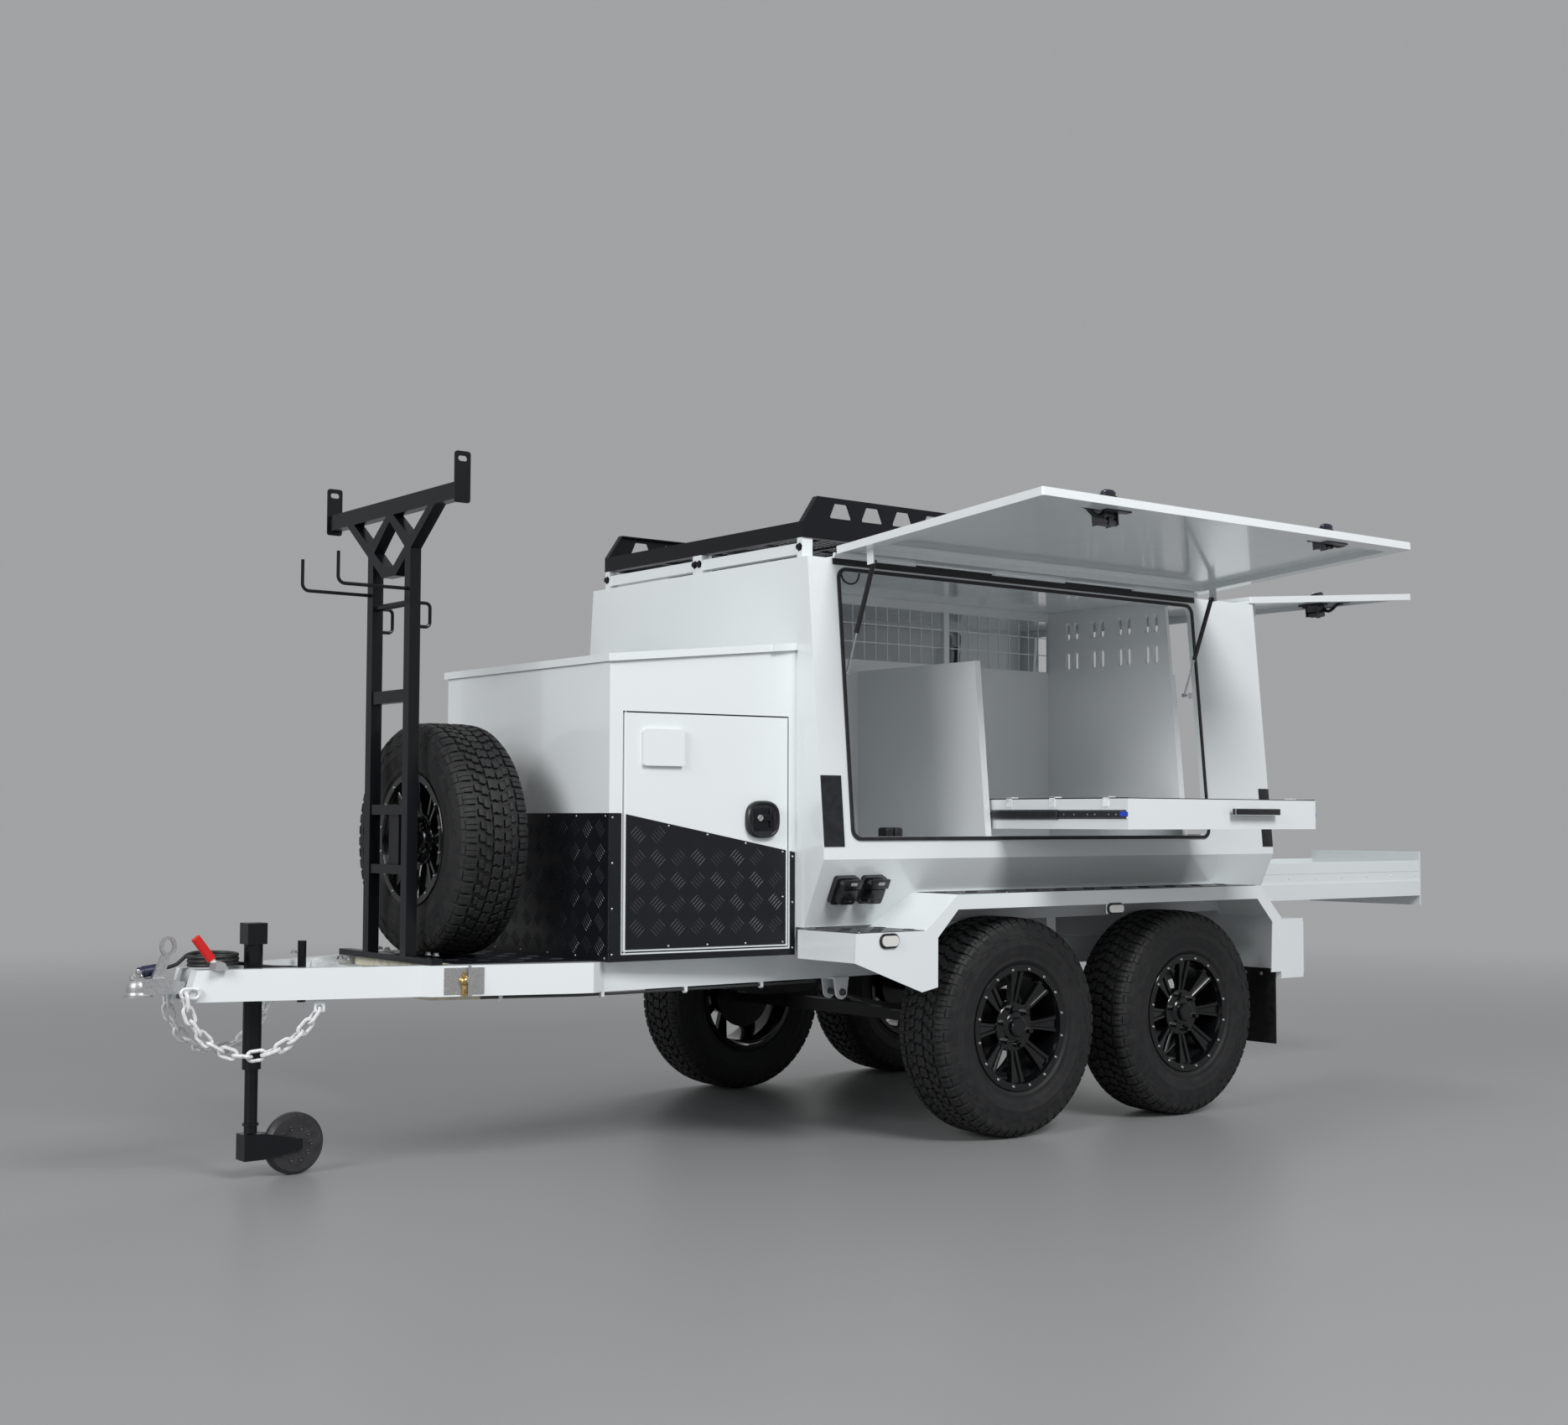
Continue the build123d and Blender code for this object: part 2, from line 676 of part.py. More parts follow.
def rim_solid(with_drum):
    """A split-spoke rim about the Y axis, outer face towards +Y, with or without a brake drum."""
    with BuildPart() as rim:
        with BuildSketch(Plane.XY):
            with BuildLine():
                Polyline(
                    (204, -rim_half),
                    (rim_r, -rim_half),
                    (rim_r, -rim_half + 7),
                    (bead_r, -rim_half + 9),
                    (bead_r, rim_half - 9),
                    (rim_r, rim_half - 7),
                    (rim_r, rim_half),
                    (204, rim_half),
                    close=True,
                )
            make_face()
        revolve(axis=Axis.Y)
        with BuildSketch(Plane.XY):
            with BuildLine():
                Polyline(
                    (0, 60),
                    (75, 60),
                    (205, 82),
                    (205, 106),
                    (150, 92),
                    (70, 84),
                    (46, hub_face_y),
                    (0, hub_face_y),
                    close=True,
                )
            make_face()
        revolve(axis=Axis.Y)
        with BuildSketch(Plane.XZ.offset(-130)):
            with PolarLocations(0, spoke_count):
                with BuildLine():
                    Polyline((88, 0), (118, -16), (196, -30), (202, 0), (196, 30), (118, 16), close=True)
                make_face()
            with PolarLocations(0, spoke_count, start_angle=180 / spoke_count):
                with Locations((150, 0)):
                    RectangleRounded(84, 15, 7)
        extrude(amount=100, mode=Mode.SUBTRACT)
        if with_drum:
            with Locations((0, -60, 0)):
                Cylinder(130, 121, rotation=(90, 0, 0), align=(Align.CENTER, Align.CENTER, Align.MAX))
            with Locations((0, -70, 0)):
                Cylinder(
                    spindle_r + pin_gap,
                    100,
                    rotation=(90, 0, 0),
                    align=(Align.CENTER, Align.CENTER, Align.MAX),
                    mode=Mode.SUBTRACT,
                )
    return rim.part


tyre = tyre_solid()
rim = rim_solid(True)
wheel_places = {
    "front_left": (axle_xs[0], -1),
    "rear_left": (axle_xs[1], -1),
    "front_right": (axle_xs[0], 1),
    "rear_right": (axle_xs[1], 1),
}
for place, (x, side) in wheel_places.items():
    facing = rim if side > 0 else rim.mirror(Plane.XZ)
    save(Pos(x, side * wheel_y, axle_z) * tyre, f"{place}_tyre")
    save(Pos(x, side * wheel_y, axle_z) * facing, f"{place}_rim")

spare_x = 1045.0
spare_z = rail_top_z + 3 + tyre_r + 1
spare_turn = Pos(spare_x, 0, spare_z) * Rot(0, 0, 90)
save(spare_turn * tyre, "spare_tyre")
save(spare_turn * rim_solid(False), "spare_rim")

# Axle beams with their spindles and brake backplates
beam_half = wheel_y - 84
with BuildPart() as axles:
    for x in axle_xs:
        box_between(
            (x - axle_tube / 2, -beam_half, axle_z - axle_tube / 2),
            (x + axle_tube / 2, beam_half, axle_z + axle_tube / 2),
        )
        with Locations((x, 0, axle_z)):
            Cylinder(spindle_r, 2 * (wheel_y + 20), rotation=(90, 0, 0))
        for side in (-1, 1):
            with Locations((x, side * (beam_half + 4), axle_z)):
                Cylinder(135, 8, rotation=(90, 0, 0))
save(axles.part, "axles")

# Leaf springs and the rocker between them on each side, on pins
spring_eye_z = -85.0
spring_width = 60.0
leaf_thick = 9.0
leaf_count = 4
hanger_front_x = 2408.0
hanger_rear_x = 2 * axle_group_x - hanger_front_x
rocker_half = 70.0
spring_pin_r = 11.0
spring_pin_z = spring_eye_z - leaf_thick / 2
axle_top_z = axle_z + axle_tube / 2

with BuildPart() as springs:
    for front, rear, axle_x in (
        (hanger_front_x, axle_group_x - rocker_half, axle_xs[0]),
        (axle_group_x + rocker_half, hanger_rear_x, axle_xs[1]),
    ):
        for i in range(leaf_count):
            share = 1 - 0.2 * i
            x0 = axle_x + (front - axle_x) * share
            x1 = axle_x + (rear - axle_x) * share
            top = axle_top_z + fit_gap + (leaf_count - i) * leaf_thick
            rise = (spring_eye_z - axle_top_z - leaf_count * leaf_thick) * share**2
            with BuildSketch(Plane.XZ.offset(rail_y - spring_width / 2)):
                with BuildLine():
                    ThreePointArc((x0, top + rise), (axle_x, top), (x1, top + rise))
                    Line((x1, top + rise), (x1, top + rise - leaf_thick))
                    ThreePointArc(
                        (x1, top + rise - leaf_thick),
                        (axle_x, top - leaf_thick),
                        (x0, top + rise - leaf_thick),
                    )
                    Line((x0, top + rise - leaf_thick), (x0, top + rise))
                make_face()
            extrude(amount=spring_width)
    for face in (-spring_width / 2 - 22, spring_width / 2 + 10):
        with BuildSketch(Plane.XZ.offset(rail_y + face)):
            with BuildLine():
                Polyline(
                    (axle_group_x - rocker_half - 22, spring_eye_z - 20),
                    (axle_group_x - rocker_half - 22, spring_eye_z + 14),
                    (axle_group_x, spring_eye_z + 34),
                    (axle_group_x + rocker_half + 22, spring_eye_z + 14),
                    (axle_group_x + rocker_half + 22, spring_eye_z - 20),
                    close=True,
                )
            make_face()
        extrude(amount=10)
    rocker_ends = (axle_group_x - rocker_half, axle_group_x + rocker_half)
    for x in (hanger_front_x, axle_group_x, hanger_rear_x, *rocker_ends):
        with Locations((x, -rail_y, spring_pin_z)):
            Cylinder(spring_pin_r, spring_width + 42, rotation=(90, 0, 0))
save(both_sides(springs.part), "leaf_springs")

# Spring hangers: a flange under the rail and two round-ended cheeks at each fixed spring pin
hanger_half = spring_width / 2 + 9
hanger_top = rail_low_z - fit_gap
with BuildPart() as hangers:
    for x, half in ((hanger_front_x, 34), (axle_group_x, 46), (hanger_rear_x, 34)):
        box_between(
            (x - half, -rail_y - hanger_half, hanger_top - 6),
            (x + half, -rail_y + hanger_half, hanger_top),
        )
        for face in (-hanger_half, spring_width / 2 + 1):
            with BuildSketch(Plane.XZ.offset(rail_y + face)):
                with BuildLine():
                    Polyline(
                        (x + 26, spring_pin_z),
                        (x + half, hanger_top),
                        (x - half, hanger_top),
                        (x - 26, spring_pin_z),
                    )
                    ThreePointArc((x - 26, spring_pin_z), (x, spring_pin_z - 26), (x + 26, spring_pin_z))
                make_face()
                with Locations((x, spring_pin_z)):
                    Circle(spring_pin_r + pin_gap, mode=Mode.SUBTRACT)
            extrude(amount=8)
save(both_sides(hangers.part), "spring_hangers")

# --------------------------------------------------------------------------------------
# Front box: hollow body, sloping lid, tread plate cladding and two side doors
# --------------------------------------------------------------------------------------

flare_angle = degrees(atan2(box_half_rear - box_half_front, box_length))
box_low_z = rail_top_z + fit_gap
box_rear_x = canopy_front_x - fit_gap
box_door_inset = 50.0
door_panel = 18.0
box_pin_r = 4.0
box_pin_length = 25.0
box_door_width = 660.0
box_door_low = 93.0
box_door_high = 903.0


def box_plan(inset, front_inset, rear_inset):
    """Corner points of the flared plan, moved in from the sides, front and rear."""
    front = box_front_x + front_inset
    rear = box_rear_x - rear_inset
    half_front = box_half_front + front_inset * box_flare - inset
    half_rear = box_half_front + (rear - box_front_x) * box_flare - inset
    return [(front, -half_front), (rear, -half_rear), (rear, half_rear), (front, half_front)]


def box_side_plane(side, height):
    """Plane on one flared side, origin at the front corner, x rearwards along the side."""
    turn = radians(flare_angle)
    along = (cos(turn), side * sin(turn), 0)
    outward = (-sin(turn), side * cos(turn), 0)
    return Plane(origin=(box_front_x, side * box_half_front, height), x_dir=along, z_dir=outward)


def box_pivot(side, height):
    """Where a box door's pivot pin stands, in the middle of the panel's front edge."""
    base = box_side_plane(side, height)
    along = box_door_inset + run_gap + door_panel / 2
    return base.origin + base.x_dir * along - base.z_dir * (door_panel / 2)


def side_rectangle(side, depth_out, u0, u1, z0, z1, thick, radius=0, mode=Mode.ADD):
    """A plate on a flared side, between two distances along it and two heights."""
    base = box_side_plane(side, 0).offset(depth_out)
    turned = base.x_dir.cross(base.z_dir).Z
    low, high = sorted((-turned * z0, -turned * z1))
    with BuildSketch(base) as plate:
        with Locations(((u0 + u1) / 2, (low + high) / 2)):
            if radius:
                RectangleRounded(u1 - u0, high - low, radius)
            else:
                Rectangle(u1 - u0, high - low)
    extrude(plate.sketch, amount=thick, mode=mode)


top_cut_front = (box_front_x - 50, box_front_top - 50 * box_slope)
top_cut_rear = (box_rear_x + 50, box_front_top + (box_length + 50) * box_slope)

with BuildPart() as front_box:
    with BuildSketch(Plane.XY.offset(box_low_z)):
        Polygon(*box_plan(0, 0, 0), align=None)
    extrude(amount=box_rear_top - box_low_z + 60)
    with BuildSketch(Plane.XY.offset(box_low_z + 3)):
        Polygon(*box_plan(box_wall, box_wall, box_wall), align=None)
    extrude(amount=box_rear_top + 60, mode=Mode.SUBTRACT)
    with BuildSketch(Plane.XZ.offset(-box_half_rear - 100)):
        with BuildLine():
            Polyline(
                top_cut_front,
                top_cut_rear,
                (box_rear_x + 50, box_rear_top + 200),
                (box_front_x - 50, box_rear_top + 200),
                close=True,
            )
        make_face()
    extrude(amount=2 * box_half_rear + 200, mode=Mode.SUBTRACT)
    for side in (-1, 1):
        side_rectangle(
            side,
            -box_wall - 10,
            box_door_inset,
            box_door_inset + box_door_width,
            box_door_low,
            box_door_high,
            box_wall + 40,
            mode=Mode.SUBTRACT,
        )
        with Locations(box_pivot(side, box_door_low - 1)):
            Cylinder(box_pin_r, box_pin_length + 1, align=(Align.CENTER, Align.CENTER, Align.MIN))
        with Locations(box_pivot(side, box_door_high + 1)):
            Cylinder(box_pin_r, box_pin_length + 1, align=(Align.CENTER, Align.CENTER, Align.MAX))
save(front_box.part, "front_box")

# The lid is a folded sheet cap whose lip hangs over the front and the sides
with BuildPart() as box_lid:
    with BuildSketch(Plane.XZ.offset(-box_half_rear - lid_lip)):
        with BuildLine():
            Polyline(
                (box_front_x - lid_lip, box_front_top - lid_thick - lid_lip * box_slope),
                (box_front_x - lid_lip, box_front_top + 6 - lid_lip * box_slope),
                (box_rear_x, box_rear_top + 6),
                (box_rear_x, box_rear_top - lid_thick),
                close=True,
            )
        make_face()
    extrude(amount=2 * (box_half_rear + lid_lip))
    with BuildSketch(Plane.XY.offset(box_front_top - 100)):
        Rectangle(4000, 4000)
        Polygon(*box_plan(-lid_lip, -lid_lip, -lid_lip), align=None, mode=Mode.SUBTRACT)
    extrude(amount=400, mode=Mode.SUBTRACT)
    with BuildSketch(Plane.XZ.offset(-box_half_rear - 100)):
        with BuildLine():
            Polyline(
                (top_cut_front[0], top_cut_front[1] + fit_gap),
                (top_cut_rear[0], top_cut_rear[1] + fit_gap),
                (top_cut_rear[0], top_cut_rear[1] - 300),
                (top_cut_front[0], top_cut_front[1] - 300),
                close=True,
            )
        make_face()
    hollow = extrude(amount=2 * box_half_rear + 200, mode=Mode.PRIVATE)
    with BuildSketch(Plane.XY.offset(box_front_top - 200)):
        Polygon(*box_plan(-fit_gap, -fit_gap, -20), align=None)
    core = extrude(amount=600, mode=Mode.PRIVATE)
    add(hollow & core, mode=Mode.SUBTRACT)
save(box_lid.part, "box_lid")

# Black tread plate on the lower front and the lower sides, round the door openings
clad_front_z = 560.0
clad_step_u = 40.0
clad_rear_z = 425.0
clad_thick = 3.0
with BuildPart() as cladding:
    box_between(
        (box_front_x - fit_gap - clad_thick, -box_half_front, box_low_z),
        (box_front_x - fit_gap, box_half_front, clad_front_z),
    )
    for side in (-1, 1):
        base = box_side_plane(side, 0).offset(fit_gap)
        up = -base.x_dir.cross(base.z_dir).Z
        low = box_low_z
        door_u0 = box_door_inset - run_gap
        door_u1 = box_door_inset + box_door_width + run_gap
        run = box_length - 1
        with BuildSketch(base):
            with BuildLine():
                Polyline(
                    (0, up * low),
                    (run, up * low),
                    (run, up * clad_rear_z),
                    (door_u1, up * (clad_rear_z + 4)),
                    (door_u1, up * (box_door_low - run_gap)),
                    (door_u0, up * (box_door_low - run_gap)),
                    (door_u0, up * clad_front_z),
                    (0, up * clad_front_z),
                    close=True,
                )
            make_face()
        extrude(amount=clad_thick)
save(cladding.part, "checker_cladding")

# Side doors of the front box, each with a louvred vent and a round compression lock
for side, name in ((-1, "left"), (1, "right")):
    with BuildPart() as box_door:
        side_rectangle(
            side,
            -door_panel,
            box_door_inset + run_gap,
            box_door_inset + box_door_width - run_gap,
            box_door_low + run_gap,
            box_door_high - run_gap,
            door_panel,
        )
        front_edges = box_door.edges().filter_by(Axis.Z).sort_by(Axis.X)[:2]
        fillet(front_edges, radius=door_panel / 2 - 0.1)
        with Locations(box_pivot(side, box_door_low)):
            Cylinder(
                box_pin_r + pin_gap,
                box_pin_length + run_gap + 1,
                align=(Align.CENTER, Align.CENTER, Align.MIN),
                mode=Mode.SUBTRACT,
            )
        with Locations(box_pivot(side, box_door_high)):
            Cylinder(
                box_pin_r + pin_gap,
                box_pin_length + run_gap + 1,
                align=(Align.CENTER, Align.CENTER, Align.MAX),
                mode=Mode.SUBTRACT,
            )
        side_rectangle(side, 0, 125, 280, 720, 845, 14, radius=8)
        side_rectangle(side, 0, 562, 652, 488, 578, 16, radius=24)
    save(box_door.part, f"{name}_box_door")

# --------------------------------------------------------------------------------------
# Canopy: folded shell with a floor, side openings, rear opening and a drawer bay below
# --------------------------------------------------------------------------------------

room_top = canopy_top_z - canopy_wall
floor_low = floor_z - floor_thick
bay_low = canopy_base_z + canopy_wall
rear_bay_y0 = rear_drawer_near_y - 20
rear_bay_y1 = rear_drawer_near_y + rear_drawer_width + 20


def canopy_section(low, high, inset):
    """Points of the canopy's section between two heights, moved in by one wall."""
    heights = [low] + ([canopy_waist_z] if low < canopy_waist_z < high else []) + [high]
    left = [(-(canopy_half(z) - inset), z) for z in heights]
    right = [(canopy_half(z) - inset, z) for z in reversed(heights)]
    return left + right


with BuildPart() as canopy:
    with BuildSketch(Plane.YZ.offset(canopy_front_x)):
        Polygon(*canopy_section(canopy_base_z, canopy_top_z, 0), align=None)
    extrude(amount=canopy_length)
    with BuildSketch(Plane.YZ.offset(canopy_front_x + canopy_wall)):
        Polygon(*canopy_section(floor_z, room_top, canopy_wall), align=None)
        Polygon(*canopy_section(bay_low, floor_low, canopy_wall), align=None)
    extrude(amount=canopy_length - 2 * canopy_wall, mode=Mode.SUBTRACT)
    with BuildSketch(Plane.XZ):
        with Locations((opening_middle_x, (opening_low_z + opening_high_z) / 2)):
            RectangleRounded(opening_rear_x - opening_front_x, opening_high_z - opening_low_z, 30)
    extrude(amount=canopy_half_waist + 50, both=True, mode=Mode.SUBTRACT)
    with BuildSketch(Plane.YZ.offset(canopy_rear_x - canopy_wall - 1)):
        Polygon(
            (-rear_opening_half_low, opening_low_z),
            (-rear_opening_half_top, rear_opening_top),
            (rear_opening_half_top, rear_opening_top),
            (rear_opening_half_low, opening_low_z),
            align=None,
        )
    extrude(amount=canopy_wall + 2, mode=Mode.SUBTRACT)
    box_between(
        (canopy_rear_x - canopy_wall - 1, rear_bay_y0, rear_drawer_z - 10),
        (canopy_rear_x + 1, rear_bay_y1, rear_drawer_z + rear_drawer_height + 10),
        mode=Mode.SUBTRACT,
    )

# Hinges: a pin along each door, held by barrels whose leaves sit on the roof
side_hinge_y = canopy_half_top + hinge_out
hinge_z = canopy_top_z + hinge_up
rear_hinge_x = canopy_rear_x + hinge_out
rear_door_top_width = 2 * (canopy_half_top - 30)
hinge_shares = 5             # two door barrels between three body barrels


def barrel_spans(width, door_side):
    """Stretches along the hinge that belong to the door or to the body."""
    step = width / hinge_shares
    picked = range(1, hinge_shares, 2) if door_side else range(0, hinge_shares, 2)
    return [(-width / 2 + i * step + run_gap / 2, -width / 2 + (i + 1) * step - run_gap / 2) for i in picked]


def hinge_plane(place, out, along):
    """Section plane of a hinge: x outwards, y up, z along the hinge."""
    return Plane(origin=place, x_dir=out, z_dir=along)


left_hinge = hinge_plane((opening_middle_x, -side_hinge_y, hinge_z), (0, -1, 0), (-1, 0, 0))
right_hinge = hinge_plane((opening_middle_x, side_hinge_y, hinge_z), (0, 1, 0), (1, 0, 0))
rear_hinge = hinge_plane((rear_hinge_x, 0, hinge_z), (1, 0, 0), (0, -1, 0))


def body_hinge(plane, width):
    """Pin, barrels and leaves of one hinge on the body's side."""
    with BuildPart() as hinge:
        with BuildSketch(plane.offset(-width / 2)) as pin:
            Circle(hinge_pin_r)
        extrude(pin.sketch, amount=width)
        for start, end in barrel_spans(width, False):
            with BuildSketch(plane.offset(start)) as leaf:
                Circle(hinge_barrel_r)
                with Locations((-24, -hinge_up + 3)):
                    Rectangle(48, 6)
                with Locations((-3, -hinge_up / 2)):
                    Rectangle(8, hinge_up)
            extrude(leaf.sketch, amount=end - start)
    return hinge.part


hinge_parts = [
    body_hinge(left_hinge, side_door_width),
    body_hinge(right_hinge, side_door_width),
    body_hinge(rear_hinge, rear_door_top_width),
]
with canopy:
    for piece in hinge_parts:
        add(piece)
    # gas strut pegs on the jambs, 1 mm short of the rod ends
strut_peg_r = 5.0
strut_end_half = 8.0
strut_inset = 37.0           # strut's plane from the opening's edge
strut_door_out = 135.0       # upper ball from the hinge, door open
strut_door_down = 34.0
strut_low_in = 12.0          # lower ball inside the hinge line
strut_low_drop = 424.0
strut_front_x = opening_front_x + strut_inset
strut_rear_x = opening_rear_x - strut_inset
rear_strut_station = 565.0
low_ball_z = hinge_z - strut_low_drop
low_ball_y = side_hinge_y - strut_low_in
low_ball_x = rear_hinge_x - rear_strut_low_in
with canopy:
    for side in (-1, 1):
        y = side * low_ball_y
        for x0, x1 in (
            (opening_front_x - 2, strut_front_x - strut_end_half - 1),
            (strut_rear_x + strut_end_half + 1, opening_rear_x + 2),
        ):
            with Locations(((x0 + x1) / 2, y, low_ball_z)):
                Cylinder(strut_peg_r, x1 - x0, rotation=(0, 90, 0))
        wall_in = side * (canopy_half(low_ball_z) - canopy_wall + 2)
        for x0 in (opening_front_x - 20, opening_rear_x):
            y0, y1 = sorted((side * (low_ball_y - 9), wall_in))
            box_between((x0, y0, low_ball_z - 12), (x0 + 20, y1, low_ball_z + 12))
    for side in (-1, 1):
        post_ends = (rear_strut_station + strut_end_half + 1, rear_opening_half_low + 10)
        y0, y1 = sorted(side * end for end in post_ends)
        with Locations((low_ball_x, (y0 + y1) / 2, low_ball_z)):
            Cylinder(strut_peg_r, y1 - y0, rotation=(90, 0, 0))
save(canopy.part, "canopy_body")

# Inside: centre partition, front divider and slotted rear divider
partition_half = 8.0
partition_rear_x = 4064.0
partition_solid_top = 1190.0
mesh_post_x = 3403.0
divider_thick = 16.0
front_divider_x = side_drawer_front_x - 14 - divider_thick
rear_divider_x = side_drawer_front_x + side_drawer_width + 14
divider_top = 1142.0
slot_rows = (1232.0, 1362.0)
room_front_x = canopy_front_x + canopy_wall + fit_gap


def divider_near_y(z):
    """Near edge of a divider, which follows the inside of the canopy's side."""
    return -(canopy_half(max(z, canopy_waist_z)) - canopy_wall - 3)


def divider_section(top, inset, inner_y):
    """Outline of a divider with its slanted near edge moved in by one distance."""
    low = floor_z + fit_gap
    near_low = divider_near_y(low) + inset
    near_top = divider_near_y(top) + inset
    return [(near_low, low), (inner_y, low), (inner_y, top), (near_top, top)]


with BuildPart() as partition:
    box_between(
        (room_front_x, -partition_half, floor_z + fit_gap),
        (partition_rear_x, partition_half, partition_solid_top),
    )
    for x in (room_front_x, mesh_post_x, partition_rear_x - 30):
        box_between((x, -partition_half, partition_solid_top), (x + 30, partition_half, room_top - fit_gap))
    box_between(
        (room_front_x, -partition_half, room_top - 36),
        (partition_rear_x, partition_half, room_top - fit_gap),
    )
    for x, top in ((front_divider_x, divider_top), (rear_divider_x, room_top - fit_gap)):
        with BuildSketch(Plane.YZ.offset(x)):
            Polygon(*divider_section(top, 0, -partition_half), align=None)
        extrude(amount=divider_thick)
    for x in (front_divider_x - 30 + divider_thick, rear_divider_x):
        with BuildSketch(Plane.YZ.offset(x)):
            Polygon(*divider_section(divider_top, 0, divider_near_y(0) + 90), align=None)
            Polygon(*divider_section(divider_top, 3, 0), align=None, mode=Mode.SUBTRACT)
        extrude(amount=30)
    with BuildSketch(Plane.YZ.offset(rear_divider_x - 1)):
        for z in slot_rows:
            for pair in range(4):
                for half in (-1, 1):
                    with Locations((-150 - pair * 150 + half * 24, z)):
                        SlotOverall(76, 26, rotation=90)
    extrude(amount=divider_thick + 2, mode=Mode.SUBTRACT)
save(partition.part, "partition")

# Welded mesh between the partition's posts
mesh_pitch = 60.0
mesh_wire = 4.0
with BuildPart() as mesh:
    for x0, x1 in ((room_front_x + 30, mesh_post_x), (mesh_post_x + 30, partition_rear_x - 30)):
        length = x1 - x0 - 2 * fit_gap
        height = room_top - 36 - partition_solid_top - 2 * fit_gap
        columns = int(length // mesh_pitch)
        rows = int(height // mesh_pitch)
        with BuildSketch(Plane.XZ.offset(-mesh_wire / 2)):
            with Locations(((x0 + x1) / 2, partition_solid_top + fit_gap + height / 2)):
                Rectangle(length, height)
                with GridLocations(length / columns, height / rows, columns, rows):
                    Rectangle(length / columns - mesh_wire, height / rows - mesh_wire, mode=Mode.SUBTRACT)
        extrude(amount=mesh_wire)
save(mesh.part, "mesh_panels")

# Rubber seals round the side openings and the rear opening
seal_width = 14.0
seal_thick = 6.0


def seal_ring(plane, width, height):
    """A rounded rubber ring on a plane whose origin is the middle of the opening."""
    with BuildPart() as seal:
        with BuildSketch(plane) as ring:
            RectangleRounded(width + 2 * seal_width, height + 2 * seal_width, 42)
            RectangleRounded(width + 2, height + 2, 30, mode=Mode.SUBTRACT)
        extrude(ring.sketch, amount=seal_thick)
    return seal.part


opening_middle_z = (opening_low_z + opening_high_z) / 2
opening_height = (opening_high_z - opening_low_z) / cos(radians(lean_angle))
seals = []
for side in (-1, 1):
    tilt = radians(lean_angle)
    seal_plane = Plane(
        origin=(opening_middle_x, side * canopy_half(opening_middle_z), opening_middle_z),
        x_dir=(1, 0, 0),
        z_dir=(0, side * cos(tilt), sin(tilt)),
    ).offset(fit_gap)
    seals.append(seal_ring(seal_plane, opening_rear_x - opening_front_x, opening_height))
with BuildPart() as rear_seal:
    with BuildSketch(Plane.YZ.offset(canopy_rear_x + fit_gap)):
        for grow, mode in ((seal_width, Mode.ADD), (1, Mode.SUBTRACT)):
            Polygon(
                (-rear_opening_half_low - grow, opening_low_z - grow),
                (-rear_opening_half_top - grow, rear_opening_top + grow),
                (rear_opening_half_top + grow, rear_opening_top + grow),
                (rear_opening_half_low + grow, opening_low_z - grow),
                align=None,
                mode=mode,
            )
    extrude(amount=seal_thick)
seals.append(rear_seal.part)
save(Compound(children=seals), "door_seals")

# --------------------------------------------------------------------------------------
# Lifting doors: pans with a pressed border, hinge leaves, locks and gas struts
# --------------------------------------------------------------------------------------

door_low_overlap = 28.0
panel_start = hinge_barrel_r + run_gap + 1
inner_w = door_stand_off - hinge_out
side_drop = side_door_drop + door_low_overlap + hinge_up
rear_drop = hinge_z - opening_low_z + 66
rear_door_low_width = 2 * (canopy_half(hinge_z - rear_drop) - 30)
lock_height = 92.0


def door_plane(hinge, angle):
    """Plane of a door at one angle from straight down: x along the hinge, z outwards."""
    turn = radians(angle)
    outward = hinge.x_dir * cos(turn) + hinge.y_dir * sin(turn)
    return Plane(origin=hinge.origin, x_dir=hinge.z_dir, z_dir=outward)


def door_panel_solid(plane, top_width, low_width, drop):
    """A door pan about its hinge: y down the door, z outwards."""
    with BuildPart() as door:
        with BuildSketch(plane.offset(inner_w)) as outline:
            Polygon(
                (-top_width / 2, panel_start),
                (top_width / 2, panel_start),
                (low_width / 2, drop),
                (-low_width / 2, drop),
                align=None,
            )
            fillet(outline.vertices(), radius=8)
        extrude(outline.sketch, amount=door_thick)
        with BuildSketch(plane.offset(inner_w)) as pocket:
            Polygon(
                (-top_width / 2 + 60, panel_start + 55),
                (top_width / 2 - 60, panel_start + 55),
                (low_width / 2 - 60, drop - 70),
                (-low_width / 2 + 60, drop - 70),
                align=None,
            )
            fillet(pocket.vertices(), radius=20)
        extrude(pocket.sketch, amount=door_thick - 6, mode=Mode.SUBTRACT)
        for start, end in barrel_spans(top_width, True):
            barrel = Plane(origin=plane.origin + plane.x_dir * start, x_dir=plane.z_dir, z_dir=plane.x_dir)
            with BuildSketch(barrel) as leaf:
                Circle(hinge_barrel_r)
                with Locations((inner_w + 2.5, -(panel_start + 4) / 2)):
                    Rectangle(5, panel_start + 4)
                Circle(hinge_pin_r + pin_gap, mode=Mode.SUBTRACT)
            extrude(leaf.sketch, amount=end - start)
    return door.part


def lock_solid(plane, x, drop):
    """A folding T-handle lock: rose and handle outside, latch and bracket inside."""
    y = drop - lock_height
    outer = inner_w + door_thick
    with BuildPart() as lock:
        with BuildSketch(plane.offset(outer + fit_gap)) as rose:
            with Locations((x, y)):
                Ellipse(62, 30)
        extrude(rose.sketch, amount=6)
        with BuildSketch(plane.offset(outer + fit_gap + 6)) as grip:
            with Locations((x, y)):
                Ellipse(48, 17)
        extrude(grip.sketch, amount=24)
    with BuildPart() as latch:
        with BuildSketch(plane.offset(inner_w - fit_gap)) as bracket:
            with Locations((x, y + 38)):
                Rectangle(120, 26)
        extrude(bracket.sketch, amount=-4)
    return [lock.part, latch.part]


